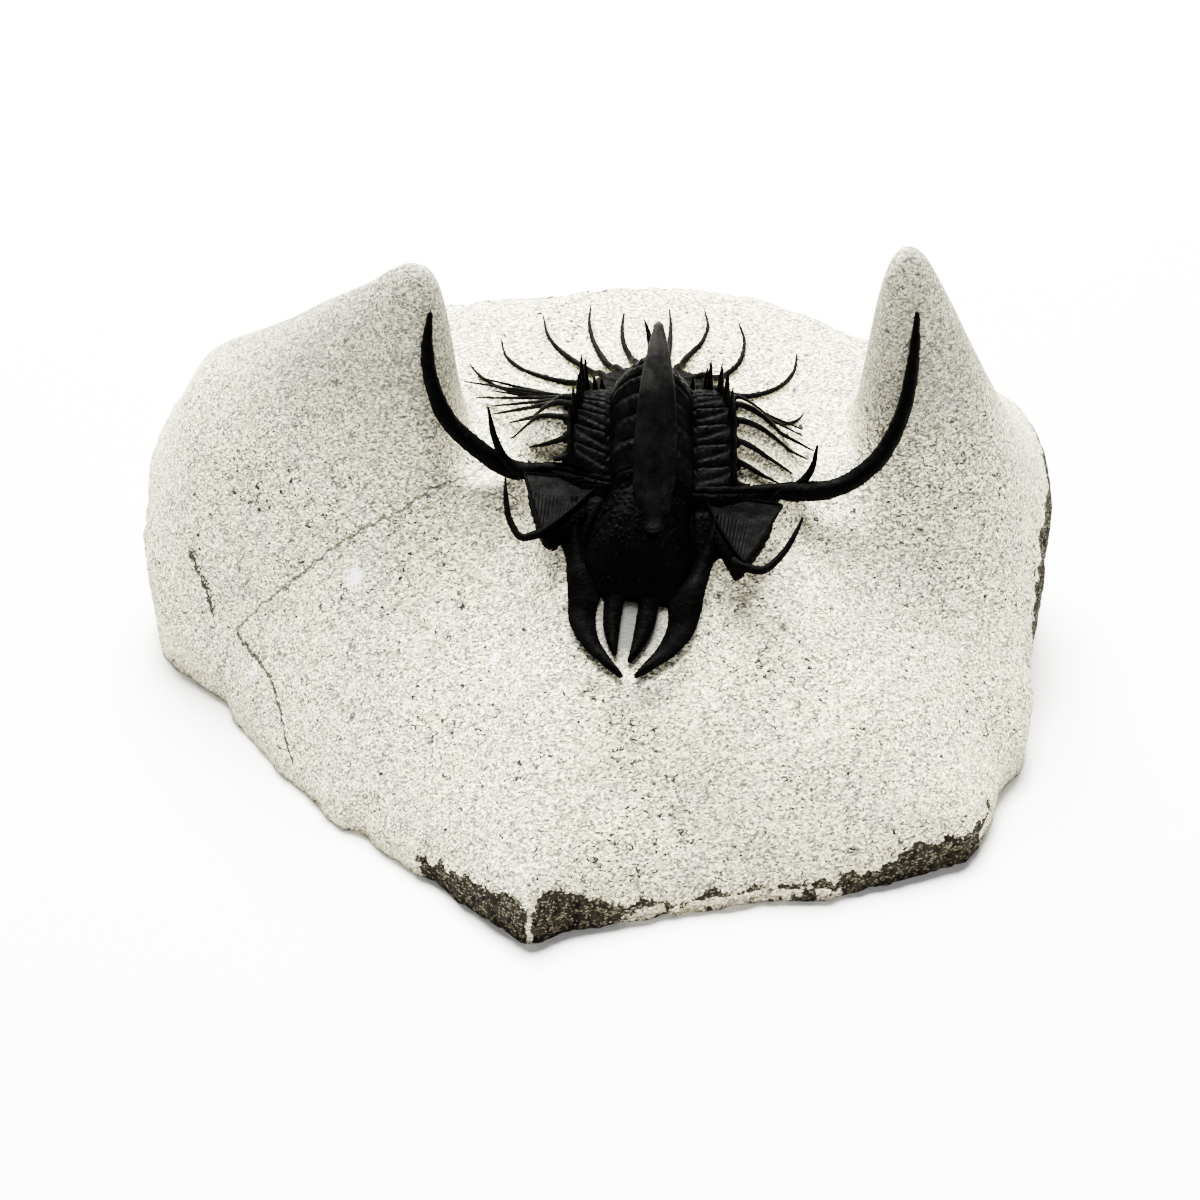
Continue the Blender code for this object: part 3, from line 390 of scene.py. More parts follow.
def evenly(points, count):
    """Points spread evenly along a smooth line through the given ones."""
    p = np.array(points, float)
    gaps = np.linalg.norm(np.diff(p[:, :min(3, p.shape[1])], axis=0), axis=1)
    s = np.concatenate([[0], np.cumsum(gaps)])
    want = np.linspace(0, s[-1], count)
    return np.stack([smooth(list(zip(s, p[:, k])), want) for k in range(p.shape[1])], 1)


def stretches(x, y, line):
    """For each stretch of a line in plan: share of it passed, distance, and side, left being 1."""
    for a, b in zip(line[:-1], line[1:]):
        px, py, dx, dy = x - a[0], y - a[1], b[0] - a[0], b[1] - a[1]
        t = unit((px * dx + py * dy) / (dx * dx + dy * dy + 1e-9))
        yield t, np.hypot(px - t * dx, py - t * dy), np.sign(dx * py - dy * px)


def route_distance(x, y, line):
    """Distance in plan to a line, and how far along it the nearest place is, from 0 to 1."""
    pts = np.array(line, float)
    best = np.full(np.shape(x), 1e9)
    where = np.zeros(np.shape(x))
    gaps = np.hypot(np.diff(pts[:, 0]), np.diff(pts[:, 1]))
    run = 0.0
    for gap, (t, d, _) in zip(gaps, stretches(x, y, pts)):
        where = np.where(d < best, (run + t * gap) / gaps.sum(), where)
        best = np.minimum(best, d)
        run += gap
    return best, where


def place(name, mesh, mat, node):
    """Puts a mesh in the scene as a piece that stands for a node."""
    mesh.materials.append(mat)
    mesh.shade_smooth()
    ob = bpy.data.objects.new(name, mesh)
    bpy.context.scene.collection.objects.link(ob)
    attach(ob, "root")
    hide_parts(node)


def hoop_faces(rows, sides):
    """Faces between rows of points that each go once round."""
    return [(j + i, j + (i + 1) % sides, j + sides + (i + 1) % sides, j + sides + i)
            for j in range(0, (rows - 1) * sides, sides) for i in range(sides)]


class Shape:
    """Gathers points and faces of one piece."""

    def __init__(self):
        self.points = []
        self.faces = []
        self.count = 0

    def add(self, points, faces):
        points = np.asarray(points, float).reshape(-1, 3)
        self.points.append(points)
        self.faces.extend([tuple(i + self.count for i in f) for f in faces])
        self.count += len(points)

    def plate(self, x, y, z, depth, grain):
        """A grid of points, made rough, as a solid: a skirt goes down from its rim and closes
        beneath it. grain is height, size, seed and octaves of the roughness."""
        grid = np.stack([x, y, z], 2)
        high, *kind = grain
        grid[..., 2] += high * rough(grid.reshape(-1, 3), *kind).reshape(z.shape)
        rows, cols = z.shape
        middle = grid[:, cols // 2].copy()
        rim_low = np.minimum(grid[:, 0, 2], grid[:, -1, 2])
        middle[:, 2] = np.minimum(middle[:, 2] - depth, rim_low)
        left = grid[:, 0] - [0, 0, depth]
        right = grid[:, -1] - [0, 0, depth]
        faces = [(k, k + 1, k + cols + 1, k + cols)
                 for j in range(rows - 1) for k in range(j * cols, (j + 1) * cols - 1)]
        a = rows * cols
        b = a + rows
        c = b + rows
        for j in range(rows - 1):
            k = j * cols
            faces.append((k + cols, a + j + 1, a + j, k))
            k = k + cols - 1
            faces.append((k, b + j, b + j + 1, k + cols))
            faces.append((a + j, a + j + 1, c + j + 1, c + j))
            faces.append((c + j, c + j + 1, b + j + 1, b + j))
        faces.append([*range(cols)][::-1] + [a, c, b])
        faces.append([*range(a - cols, a)] + [c - 1, c + rows - 1, b - 1])
        self.add(np.concatenate([grid.reshape(-1, 3), left, right, middle]), faces)

    def limb(self, rows, sides, reference=(0, 0, 1), profile=None, grain=0.03):
        """A limb along rows of x, y, z, half width, half depth, closed to a point at each end.
        profile(share along, angle round) makes it wider, and grain is how rough its skin is."""
        rows = np.asarray(rows, float)
        n = len(rows)
        t = np.gradient(rows[:, :3], axis=0)
        t = t / np.linalg.norm(t, axis=1, keepdims=True)
        side = np.cross(t, np.broadcast_to(reference, t.shape))
        side = side / np.linalg.norm(side, axis=1, keepdims=True)
        up = np.cross(side, t)
        turn = np.arange(sides) / sides * 2 * math.pi
        cs, sn = np.cos(turn), np.sin(turn)
        grow = np.ones((n, sides))
        if profile:
            grow = profile(np.linspace(0, 1, n)[:, None], turn[None, :])
        pts = (rows[:, None, :3] + side[:, None, :] * (cs * grow * rows[:, 3:4])[..., None]
               + up[:, None, :] * (sn * grow * rows[:, 4:5])[..., None])
        out = side[:, None, :] * cs[None, :, None] + up[:, None, :] * sn[None, :, None]
        flat = pts.reshape(-1, 3)
        skin = grain * rough(flat, 0.9, 5, 2) + grain * 0.8 * rough(flat, 0.35, 9, 2)
        pts = pts + out * skin.reshape(n, sides, 1)
        ends = np.array([rows[0, :3] - t[0] * rows[0, 3] * 0.5,
                         rows[-1, :3] + t[-1] * rows[-1, 3] * 0.9])
        faces = hoop_faces(n, sides)
        a = n * sides
        for i in range(sides):
            m = (i + 1) % sides
            faces.append((a, m, i))
            faces.append((a + 1, a - sides + i, a - sides + m))
        self.add(np.concatenate([pts.reshape(-1, 3), ends]), faces)

    def build(self, name, node, mat):
        mesh = bpy.data.meshes.new(name)
        mesh.from_pydata((np.concatenate(self.points) * MM).tolist(), [], self.faces)
        mesh.validate()
        bm = bmesh.new()
        bm.from_mesh(mesh)
        bmesh.ops.recalc_face_normals(bm, faces=bm.faces)
        bm.to_mesh(mesh)
        bm.free()
        place(name, mesh, mat, node)


# ---------------------------------------------------------------- the stone, in detail
BED = 0.55             # how far the shell's outer face stands above the stone at its border
RIDGE = 0.5            # height of the strip of stone left under a spine that lies down
AROUND, RINGS, WALL_ROWS = 150, 24, 5   # the first coarse mesh of the block
ENOUGH = 170000        # number of faces that ends its refinement
SLACK = 1.09           # how much longer than wanted an edge may be
LINE_POINTS, CRACK_POINTS = 9, 60       # points along a spine's strip and along a crack
INSIDE = 0.02          # how far the stone stays inside the box of the solids
# How far the dark broken rock reaches in over the top, by angle; none at 0.
DARK_EDGE = [(-180, 0.05), (-134, 0.05), (-121, 0.08), (-117, 0.4), (-111, 0.6), (-105.6, 1.0),
    (-102.3, 1.6), (-100.3, 1.3), (-99.7, 0.0), (-99.3, 0.0), (-98.9, 1.0), (-98, 2.6),
    (-96.5, 1.8), (-93, 1.2), (-91.4, 0.9), (-89.5, 0.3), (-86, 0.24), (-78, 0.2), (-70, 0.16),
    (-62, 0.2), (-56, 0.24), (-50, 0.35), (-46, 0.6), (-44.5, 0.9), (-40, 0.6), (-37, 0.3),
    (-30, 0.05), (-12, 0.05), (-4, 0.5), (3, 0.8), (8, 0.9), (14, 0.7), (20, 0.4), (28, 0.05),
    (60, 0.05), (90, 0.16), (110, 0.16), (140, 0.05), (165, 0.05)]
# Hairline cracks, (x, y).
CRACKS = [
    [(-13.8, 7.7), (-18.7, 2.8), (-23.7, 0.7), (-29.4, -0.1), (-33.9, -0.6), (-38.7, -1.0),
     (-42.9, -0.6), (-46.7, 0.0)],
    [(-46.7, 0.0), (-44.4, -3.0), (-41.9, -6.7), (-40.3, -11.2), (-39.1, -16.1)],
    [(-52.6, 7.2), (-50.8, 4.6), (-49.7, 2.6)]]
# Tips of the side spines of the segments, where they meet the stone, (x, y).
LYING_LEFT = [(-5.8, 4.0), (-8.8, 6.0), (-11.3, 11.3), (-11.5, 15.1), (-13.7, 16.9),
    (-14.0, 18.6), (-15.9, 20.4), (-17.5, 23.8), (-15.8, 24.9), (-13.4, 21.8), (-9.4, 19.4)]
LYING_RIGHT = [(18.6, 0.6), (22.4, 1.2), (24.1, 3.6), (26.1, 7.3), (26.9, 9.1), (25.7, 12.2),
    (25.7, 13.6), (22.6, 13.6), (20.4, 14.0), (18.6, 14.8), (17.3, 15.6)]
# Small pits, scraped white spots, rusty stains and a spot of painted shade between the prongs: x,
# y, half size, strength.
PITS = [(22.5, -14.5, 0.55, 1.0), (-30.9, -16.3, 0.5, 0.9), (35.2, 6.4, 0.3, 0.8),
    (34.6, 5.4, 0.25, 0.7), (-33.0, 0.6, 0.35, 0.7), (-27.0, 0.4, 0.3, 0.7),
    (-35.9, -9.0, 0.3, 0.5), (27.2, -34.0, 0.35, 0.6)]
SCRAPES = [(-30.7, -3.4, 1.1, 1.3), (-12.9, -15.8, 0.8, 1.1), (-44.0, -4.5, 1.1, 0.8),
    (-6.0, -30.0, 1.0, 0.7), (-49.0, 6.0, 0.7, 0.8), (14.0, -24.0, 0.6, 0.7)]
RUST = [(49.0, -28.0, 1.0, 1.0), (50.2, -25.6, 0.7, 0.8), (-22.5, -2.1, 0.9, 0.6),
    (-20.3, -4.6, 0.5, 0.6), (-20.2, -6.2, 0.5, 0.55), (-2.5, -38.0, 1.2, 0.35)]
PAINTED_SHADE_SPOTS = [(3.8, -15.2, 5.0, 1.5)]


def head_plan(s, b):
    """Plan of the head shield: s runs across it and b from its back border to its front."""
    u = s * smooth(HEAD_HALF, b)
    border = BORDER_V - BORDER_SWEEP * u * u
    v = -HEAD_BACK + (HEAD_FRONT + HEAD_BACK) * b + (border + HEAD_BACK) * (1 - b) ** 3
    return u + smooth(HEAD_SHIFT, v), v


def tail_half(y):
    """Half width of the tail shield."""
    share = unit((y - TAIL_FRONT) / (TAIL_END - TAIL_FRONT))
    return TAIL_WIDE * np.sqrt(unit(1 - share ** 2.3)) + 0.25


def tail_face(x, y):
    """Outer face of the tail shield, drawn down a little at its margin."""
    back = above((y - CUTS[-1]) / (TAIL_END - CUTS[-1]))
    rim = unit(np.abs(x - BODY_X) / tail_half(y)) ** 4
    drawn = 0.3 * rim * step(0, 0.25, back) + 0.5 * np.clip(back, 0, 1.2) ** 4
    return thorax_height(x, y) - drawn


def head_bed(x, y):
    """The level that the stone takes under and round the head, and how near a point is to it."""
    u, v = to_head(x, y)
    out = head_out(u, v)
    prongs = 8.3 * np.sqrt(unit(1 - (above(v - 12.0) / 10.4) ** 2))
    half = np.maximum(np.where(v < HEAD_FRONT, head_half(v), 0), np.where(v > 9, prongs, 0))
    past = np.hypot(above(out - half), above(v - 21.8))
    fall = 1.5 * unit(out / np.maximum(half, 6.0)) ** 3 * step(14, 10, v)
    lean = head_roll(u, v) * step(15, 12, v) + PRONG_LEAN * u * step(12, 15, v)
    bed = smooth(HEAD_DECK, v) - fall - lean - BED - 0.25 * step(12, 14, v)
    bed = bed - 0.6 * step(0.6, 3.0, half - out) * step(13.0, 11, v)
    return bed, bell(past, 2.4) * step(-3.0, 0.5, v + BORDER_SWEEP * u * u)


def tent_drop(x, y):
    """How much lower the flanks of the axis are where the hind rings stand up to a ridge."""
    share = unit(np.abs(x - BODY_X) / smooth(AXIS_HALF, y))
    where = step(6.5, 10.0, y) * step(17.5, 14.5, y)
    return where * smooth(AXIS_HIGH, y) * ((1 - share ** 2) ** 0.72 - (1 - share ** 1.3))


def body_bed(x, y):
    """The level and the nearness of the stone for the thorax and the tail shield."""
    half = np.where(y < 16, smooth(EDGE_HALF, y), tail_half(y))
    t = np.abs(x - BODY_X)
    past = np.hypot(above(t - half), above(y - TAIL_END))
    inside = BODY_X + np.sign(x - BODY_X) * np.minimum(t, np.maximum(half - 0.3, 0))
    bed = tail_face(inside, np.minimum(y, TAIL_END)) - tent_drop(inside, y)
    bed = bed - 0.75 - 0.35 * step(0.5, 2.5, half - t)
    turned = y + SKEW * (x - BODY_X)
    slope = unit(1 - past / BANK) ** 1.25 * step(-0.6, 3.0, turned) * step(17.5, 13.0, y)
    near = np.maximum(bell(past, 1.9), slope)
    return bed, near * step(-3.2, -0.8, turned - BOW * ((x - BODY_X) / 11) ** 2)


def prepared(x, y):
    """Top of the stone where it meets the shell, without the strips under the spines."""
    z = ground(x, y)
    for bed, near in (body_bed(x, y), head_bed(x, y)):
        z = np.where(bed > z, z + (bed - z) * near, z + (bed - z) * near ** 2)
    return z


def side_route(i, side):
    """The way of a side spine of a segment in plan, from the shell to its tip."""
    edge = smooth(EDGE_HALF, CUTS[i])
    x = BODY_X + side * (edge - 1.0)
    y = within(i, x, 0.5)
    tip = (LYING_LEFT if side < 0 else LYING_RIGHT)[i]
    bend = (BODY_X + side * (edge + 0.8), y + 0.12 * (tip[1] - y))
    mid = ((bend[0] + tip[0]) / 2, (bend[1] + tip[1]) / 2 - 0.15)
    return [(x, y), bend, mid, tip]


def strips(x, y):
    """Stone left under each spine that lies down, with a fine groove beside it."""
    near = (x > -22) & (x < 32) & (y > 0) & (y < 43)
    xs, ys = x[near], y[near]
    high = np.zeros(xs.shape)
    for line in [side_route(i, side) for side in (-1, 1) for i in range(SEGMENTS)] + TAIL_SPINES:
        d, t = route_distance(xs, ys, evenly(line, LINE_POINTS))
        fade = step(0.0, 0.15, t) * step(1.06, 0.9, t)
        high = np.maximum(high, (RIDGE * bell(d, 0.62) - 0.16 * bell(d - 1.25, 0.5)) * fade)
    out = np.zeros(np.shape(x))
    out[near] = high
    return out


def crack_marks(x, y):
    """Signed distance in mm to the nearest hairline crack, and how open the crack is there."""
    best = np.full(np.shape(x), 9.0)
    signed = np.full(np.shape(x), 1.0)
    width = np.zeros(np.shape(x))
    for k, line in enumerate(CRACKS):
        pts = evenly(line, CRACK_POINTS)
        i = np.arange(1, CRACK_POINTS - 1)
        pts[1:-1, 1] += np.sin(1.7 * i + k) * 0.1 + np.sin(3.7 * i) * 0.08
        for _, d, side in stretches(x, y, pts):
            near = d < best
            signed = np.where(near, side * np.minimum(d, 1.0), signed)
            width = np.where(near, step(0.8, 0.5, d) * (0.8 + 0.2 * math.sin(0.9 * k)), width)
            best = np.minimum(best, d)
    return signed, width


def spot_marks(x, y, spots):
    """How strongly spots of x, y, half size and strength mark a point."""
    mark = np.zeros(np.shape(x))
    for px, py, size, power in spots:
        mark = np.maximum(mark, power * bell(np.hypot(x - px, y - py), size, 2.4))
    return mark


def stone_point(co):
    """Places the plan points (x, y, t): t is 0 on top and goes to -1 down the broken side."""
    x, y, t = co.T
    ang, r = polar(x, y)
    foot = read_ring(FOOT, ang)
    rim = read_ring(RIM, ang)
    edge = foot * (1 - unit(r / foot))
    on_top = t >= -1e-6
    down = unit(-t)
    z = np.where(on_top, prepared(x, y) + strips(x, y), rim * (1 - down))
    pts = np.stack([x, y, z], 1)
    # broken rim: ragged in plan, with bites out of it
    around = np.stack([ang * 0.9, z * 0, z * 0], 1)
    ragged = 0.55 * rough(around, 5.0, 3, 3) + 0.3 * rough(around, 1.3, 8, 2)
    bite = 0.9 * np.abs(rough(pts * [1, 1, 1.6], 3.2, 21, 3))
    bite = bite + 0.25 * np.abs(rough(pts, 0.8, 31, 2))
    pull = (ragged - 0.35) * step(4.0, 0.0, edge)
    pull = pull - np.where(on_top, 0.5 * bite * step(1.6, 0.0, edge), bite + 0.05 * rim * down)
    k = np.where(edge > 5, 1.0, (r + pull) / np.maximum(r, 1e-6))
    drop = 0.5 * np.abs(rough(around, 2.4, 61, 3)) * step(2.2, 0.0, edge) * np.minimum(1, rim / 3)
    # prepared top: fine unevenness, calmer by the shell, with cracks and pits
    skin = 0.16 * rough(pts, 6.0, 41, 2) + 0.055 * rough(pts, 1.1, 51, 3)
    skin = skin * (0.35 + 0.65 * step(2.0, 9.0, np.hypot(x - BODY_X, (y - 6) * 0.8) - 9))
    side, width = crack_marks(x, y)
    groove = 0.12 * width * bell(side, 0.2) + 0.3 * spot_marks(x, y, PITS)
    z = np.where(on_top, z + skin - drop - groove, z * (1 - 0.12 * (1 - down)))
    z = np.where(down > 0.999, 0.0, np.maximum(z, 0.02))
    return np.stack([CENTRE[0] + (x - CENTRE[0]) * k, CENTRE[1] + (y - CENTRE[1]) * k, z], 1)


def wanted_edge(co, pos):
    """How long an edge may be: short by the shell, on the pillars, by cracks and at the rim."""
    x, y = co[:, 0], co[:, 1]
    ang, r = polar(x, y)
    zones = [(pos[:, 2] > 37, 0.72), (read_ring(FOOT, ang) - r < 2.0, 0.75)]
    zones += [(route_distance(x, y, evenly(line, LINE_POINTS))[0] < 1.7, 0.34)
              for line in TAIL_SPINES]
    zones += [(route_distance(x, y, line)[0] < 0.75, 0.24) for line in CRACKS]
    zones += [(np.hypot(x - px, y - py) < size * 2, 0.22) for px, py, size, _ in PITS]
    goal = 0.62 + 0.5 * step(17, 32, np.hypot((x - BODY_X) / 1.25, y - 10))
    for inside, length in zones:
        goal = np.where(inside, np.minimum(goal, length), goal)
    return SLACK * goal


def stone_mesh():
    """The block as a coarse disc with a wall, its long edges halved, then put in place.
    Gives the mesh, its plan points and its final points."""
    bm = bmesh.new()
    turn = np.arange(AROUND) / AROUND * 2 * math.pi
    foot = read_ring(FOOT, np.degrees((turn + math.pi) % (2 * math.pi) - math.pi))
    centre = bm.verts.new((*CENTRE, 0))
    loops = []
    for j in range(1, RINGS + 1):
        loops.append([bm.verts.new((CENTRE[0] + math.cos(a) * q, CENTRE[1] + math.sin(a) * q, 0))
                      for a, q in zip(turn, foot * j / RINGS)])
    for j in range(1, WALL_ROWS + 1):
        loops.append([bm.verts.new((v.co.x, v.co.y, -j / WALL_ROWS)) for v in loops[RINGS - 1]])
    for i in range(AROUND):
        m = (i + 1) % AROUND
        bm.faces.new((centre, loops[0][i], loops[0][m]))
        for low, high in zip(loops[:-1], loops[1:]):
            bm.faces.new((low[i], high[i], high[m], low[m]))
    bmesh.ops.triangulate(bm, faces=bm.faces)
    while True:
        bm.verts.index_update()
        co = np.array([v.co[:] for v in bm.verts])
        pos = stone_point(co)
        goal = wanted_edge(co, pos)
        edges = list(bm.edges)
        ends = np.array([(e.verts[0].index, e.verts[1].index) for e in edges])
        length = np.linalg.norm(pos[ends[:, 0]] - pos[ends[:, 1]], axis=1)
        over = length > np.minimum(goal[ends[:, 0]], goal[ends[:, 1]])
        if not over.any() or len(bm.faces) > ENOUGH:
            break
        bmesh.ops.subdivide_edges(bm, edges=[e for e, o in zip(edges, over) if o], cuts=1)
        bmesh.ops.triangulate(bm, faces=[f for f in bm.faces if len(f.verts) > 3])
    low = np.array([*CAD_LOW[:2], 0]) / MM + [INSIDE, INSIDE, 0]
    pos = np.clip(pos, low, np.array(CAD_HIGH) / MM - INSIDE)
    for v, p in zip(bm.verts, pos):
        v.co = Vector(p) * MM
    bmesh.ops.holes_fill(bm, edges=[e for e in bm.edges if e.is_boundary], sides=0)
    bmesh.ops.triangulate(bm, faces=[f for f in bm.faces if len(f.verts) > 3])
    bmesh.ops.recalc_face_normals(bm, faces=bm.faces)
    mesh = bpy.data.meshes.new("limestone_block")
    bm.to_mesh(mesh)
    bm.free()
    return mesh, co, pos


def stone_marks(co, pos):
    """Where the stone is broken and dark, cracked, stained, greyed by painted shade or scraped
    white.
    """
    x, y, t = co.T
    ang, r = polar(x, y)
    edge = read_ring(FOOT, ang) - r
    dark = np.interp(ang, *zip(*DARK_EDGE), period=360.0)
    patch = rough(pos, 1.7, 71, 3)
    top = step(0.4, -0.3, edge - dark + 0.8 * patch) * step(0.0, 0.25, dark)
    in_front = np.abs(ang + 75) < 46
    deep = np.where(in_front, 0.0, step(-0.25, -0.7, t + 0.3 * patch))
    side = step(0.12, 0.32, dark + 0.15 * patch) * (1 - deep)
    on_top = t > -0.02
    marks = {"broken": np.where(on_top, top, side),
             "wall": np.where(on_top, step(0.9, -0.1, edge), 1.0)}
    marks["crack_side"], crack = crack_marks(x, y)
    marks["crack"] = crack * on_top
    for key, spots in (("pit", PITS), ("scrape", SCRAPES), ("rust", RUST), ("grey", PAINTED_SHADE_SPOTS)):
        marks[key] = spot_marks(x, y, spots) * on_top
    # painted shade: the stone turns greyer higher up, on the ridges and pillars
    marks["grey"] = np.maximum(marks["grey"], 0.6 * step(31.0, 46.0, pos[:, 2]))
    return marks


def stone_piece():
    mesh, co, pos = stone_mesh()
    for key, values in stone_marks(co, pos).items():
        mesh.attributes.new(key, "FLOAT", "POINT").data.foreach_set("value", values)
    place("limestone_block", mesh, limestone(), "matrix")


# ---------------------------------------------------------------- materials
class Nodes:
    """A small helper for building a material's nodes, with its base colour in layers."""

    def __init__(self, name):
        self.mat = bpy.data.materials.new(name)
        self.mat.use_nodes = True
        self.tree = self.mat.node_tree
        self.place = self.new("ShaderNodeTexCoord").outputs["Object"]
        self.base = None

    def feed(self, sockets, values):
        for key, value in values.items():
            if isinstance(value, bpy.types.NodeSocket):
                self.tree.links.new(value, sockets[key])
            else:
                sockets[key].default_value = value

    def new(self, kind, values=None, **settings):
        node = self.tree.nodes.new(kind)
        for key, value in settings.items():
            setattr(node, key, value)
        self.feed(node.inputs, values or {})
        return node

    def noise(self, scale, detail, share, at=None, distortion=0.0):
        values = {"Scale": scale, "Detail": detail, "Roughness": share, "Distortion": distortion,
                  "Vector": at or self.place}
        return self.new("ShaderNodeTexNoise", values).outputs["Fac"]

    def cells(self, scale, at):
        """A random value for each small grain."""
        node = self.new("ShaderNodeTexVoronoi", {"Scale": scale, "Vector": at})
        split = self.new("ShaderNodeSeparateColor", {"Color": node.outputs["Color"]})
        return split.outputs["Red"]

    def stretched(self, scale, turn):
        values = {"Scale": scale, "Rotation": turn, "Vector": self.place}
        return self.new("ShaderNodeMapping", values).outputs["Vector"]

    def mark(self, name):
        return self.new("ShaderNodeAttribute", attribute_name=name).outputs["Fac"]

    def band(self, value, lo, hi, to_lo=0.0, to_hi=1.0):
        """Smoothly turns lo..hi into to_lo..to_hi."""
        values = {"Value": value, "From Min": lo, "From Max": hi, "To Min": to_lo, "To Max": to_hi}
        node = self.new("ShaderNodeMapRange", values, interpolation_type="SMOOTHSTEP")
        return node.outputs["Result"]

    def math(self, kind, a, b=0.0):
        return self.new("ShaderNodeMath", {0: a, 1: b}, operation=kind).outputs[0]

    def times(self, a, b):
        return self.math("MULTIPLY", a, b)

    def mix(self, share, a, b):
        a, b = [(*c, 1) if isinstance(c, tuple) else c for c in (a, b)]
        values = {"Factor": share, "A": a, "B": b}
        return self.new("ShaderNodeMix", values, data_type="RGBA").outputs["Result"]

    def coat(self, share, colour):
        """Lays a colour over the base colour."""
        self.base = self.mix(share, self.base, colour)

    def bump(self, height, depth, strength, after=None):
        values = {"Strength": strength, "Distance": depth, "Height": height}
        if after:
            values["Normal"] = after
        return self.new("ShaderNodeBump", values).outputs["Normal"]

    def finish(self, colour, roughness, specular, normal=None):
        values = {"Base Color": colour, "Roughness": roughness, "Specular IOR Level": specular}
        if normal:
            values["Normal"] = normal
        self.feed(self.tree.nodes["Principled BSDF"].inputs, values)
        return self.mat


def limestone():
    """Cream limestone full of fine dark grains, with darker rock where the rim is broken."""
    m = Nodes("pale_limestone")
    slanted = m.stretched((0.8, 1.15, 1.15), (0.1, 0.2, -0.35))
    blotch = m.noise(420, 3, 0.6)
    grains = m.cells(4300, slanted)
    fine = m.noise(2400, 2, 0.6, slanted)
    # clouds of cream, yellow, blue-grey and grey
    m.base = m.mix(m.band(m.noise(45, 4, 0.6), 0.36, 0.64), (0.37, 0.352, 0.23), (0.54, 0.51, 0.31))
    m.coat(m.band(m.noise(17, 3, 0.5), 0.46, 0.66, 0, 0.6), (0.60, 0.51, 0.27))
    m.coat(m.band(m.noise(150, 4, 0.65), 0.5, 0.64, 0, 0.45), (0.34, 0.355, 0.38))
    m.coat(m.band(blotch, 0.52, 0.34, 0, 0.55), (0.215, 0.215, 0.20))
    # pale and dark grains, and black flecks that are thicker in some places
    m.coat(m.band(grains, 0.48, 0.82, 0, 0.97), (1.0, 0.97, 0.69))
    m.coat(m.band(grains, 0.42, 0.1, 0, 0.95), (0.04, 0.04, 0.036))
    m.coat(m.band(fine, 0.56, 0.38, 0, 0.66), (0.135, 0.13, 0.115))
    busy = m.band(m.noise(85, 4, 0.65), 0.38, 0.66, 0.0, 0.07)
    fleck = m.math("SUBTRACT", m.noise(1700, 3, 0.6, slanted, 0.8), busy)
    m.coat(m.band(fleck, 0.375, 0.32, 0, 1.0), (0.012, 0.012, 0.013))
    # browner on the walls, greyer with painted shade between the prongs and higher up the ridges
    # and pillars, scraped and rusty in speckled spots
    m.coat(m.times(m.mark("wall"), 0.3), (0.24, 0.2, 0.14))
    m.coat(m.times(m.mark("grey"), 0.9), (0.07, 0.069, 0.064))
    speckle = m.math("ADD", m.band(grains, 0.2, 0.8, 0.6, 1.4), m.band(blotch, 0.3, 0.7, -0.2, 0.2))
    m.coat(m.band(m.times(m.mark("scrape"), speckle), 0.3, 0.9, 0, 0.85), (0.99, 0.98, 0.93))
    m.coat(m.band(m.times(m.mark("rust"), speckle), 0.3, 0.9, 0, 0.7), (0.33, 0.17, 0.08))
    # dark broken rock
    rock = m.band(m.noise(900, 4, 0.7), 0.35, 0.65)
    rock = m.mix(rock, (0.001, 0.001, 0.0008), (0.012, 0.0105, 0.007))
    rock = m.mix(m.band(grains, 0.72, 0.95, 0, 0.75), rock, (0.11, 0.098, 0.066))
    ragged = m.band(m.noise(900, 5, 0.7), 0.3, 0.7, -0.42, 0.42)
    m.coat(m.band(m.math("ADD", m.mark("broken"), ragged), 0.46, 0.56), rock)
    # cracks that wander, chipped beside, and pits
    wander = m.band(m.noise(1300, 3, 0.6), 0.2, 0.8, -0.13, 0.13)
    off = m.math("ABSOLUTE", m.math("ADD", m.mark("crack_side"), wander))
    m.coat(m.times(m.band(off, 0.075, 0.15, 1.0, 0.0), m.mark("crack")), (0.013, 0.012, 0.01))
    chips = m.times(m.mark("crack"), m.band(blotch, 0.42, 0.33))
    m.coat(m.times(chips, m.band(off, 0.3, 0.15)), (0.04, 0.034, 0.025))
    m.coat(m.band(m.times(m.mark("pit"), speckle), 0.35, 0.75, 0, 0.95), (0.03, 0.024, 0.017))
    height = m.math("ADD", m.times(fine, 0.6), m.times(grains, 0.2))
    return m.finish(m.base, 0.92, 0.03, m.bump(height, 0.00022, 0.9))


def shell_black(name, pale, shine, painted_top_light=None):
    """Black calcite shell: fine grains, small sharp glints and, where heights are given, painted
    light that makes it paler towards the top.
    The last argument is the stretch of heights, in metres, over which the painted light turns it
    paler."""
    m = Nodes(name)
    cloud = m.noise(420, 4, 0.6)
    grain = m.noise(3000, 3, 0.65)
    m.base = m.mix(m.band(cloud, 0.38, 0.68), (0.0002,) * 3, (0.0004 + pale,) * 3)
    m.coat(m.band(grain, 0.62, 0.74, 0, 0.35), (0.006, 0.0058, 0.0055))
    # painted light: the shell turns paler high up, where the great horn's top faces the lamp
    if painted_top_light:
        high = m.new("ShaderNodeSeparateXYZ", {"Vector": m.place}).outputs["Z"]
        patchy = m.band(cloud, 0.35, 0.6, 0.35, 1.0)
        m.coat(m.times(m.band(high, *painted_top_light), patchy), (0.02, 0.0198, 0.0193))
    roughness = m.band(m.noise(900, 3, 0.6), 0.3, 0.7, 0.4, 0.66)
    normal = m.bump(cloud, 0.0003, 0.5, m.bump(grain, 0.00012, 0.8))
    return m.finish(m.base, roughness, shine, normal)


# ---------------------------------------------------------------- the shell, in detail
EYE_TURN = 200         # points round an eye
FLARE = 0.9            # how much an inner prong widens at its root
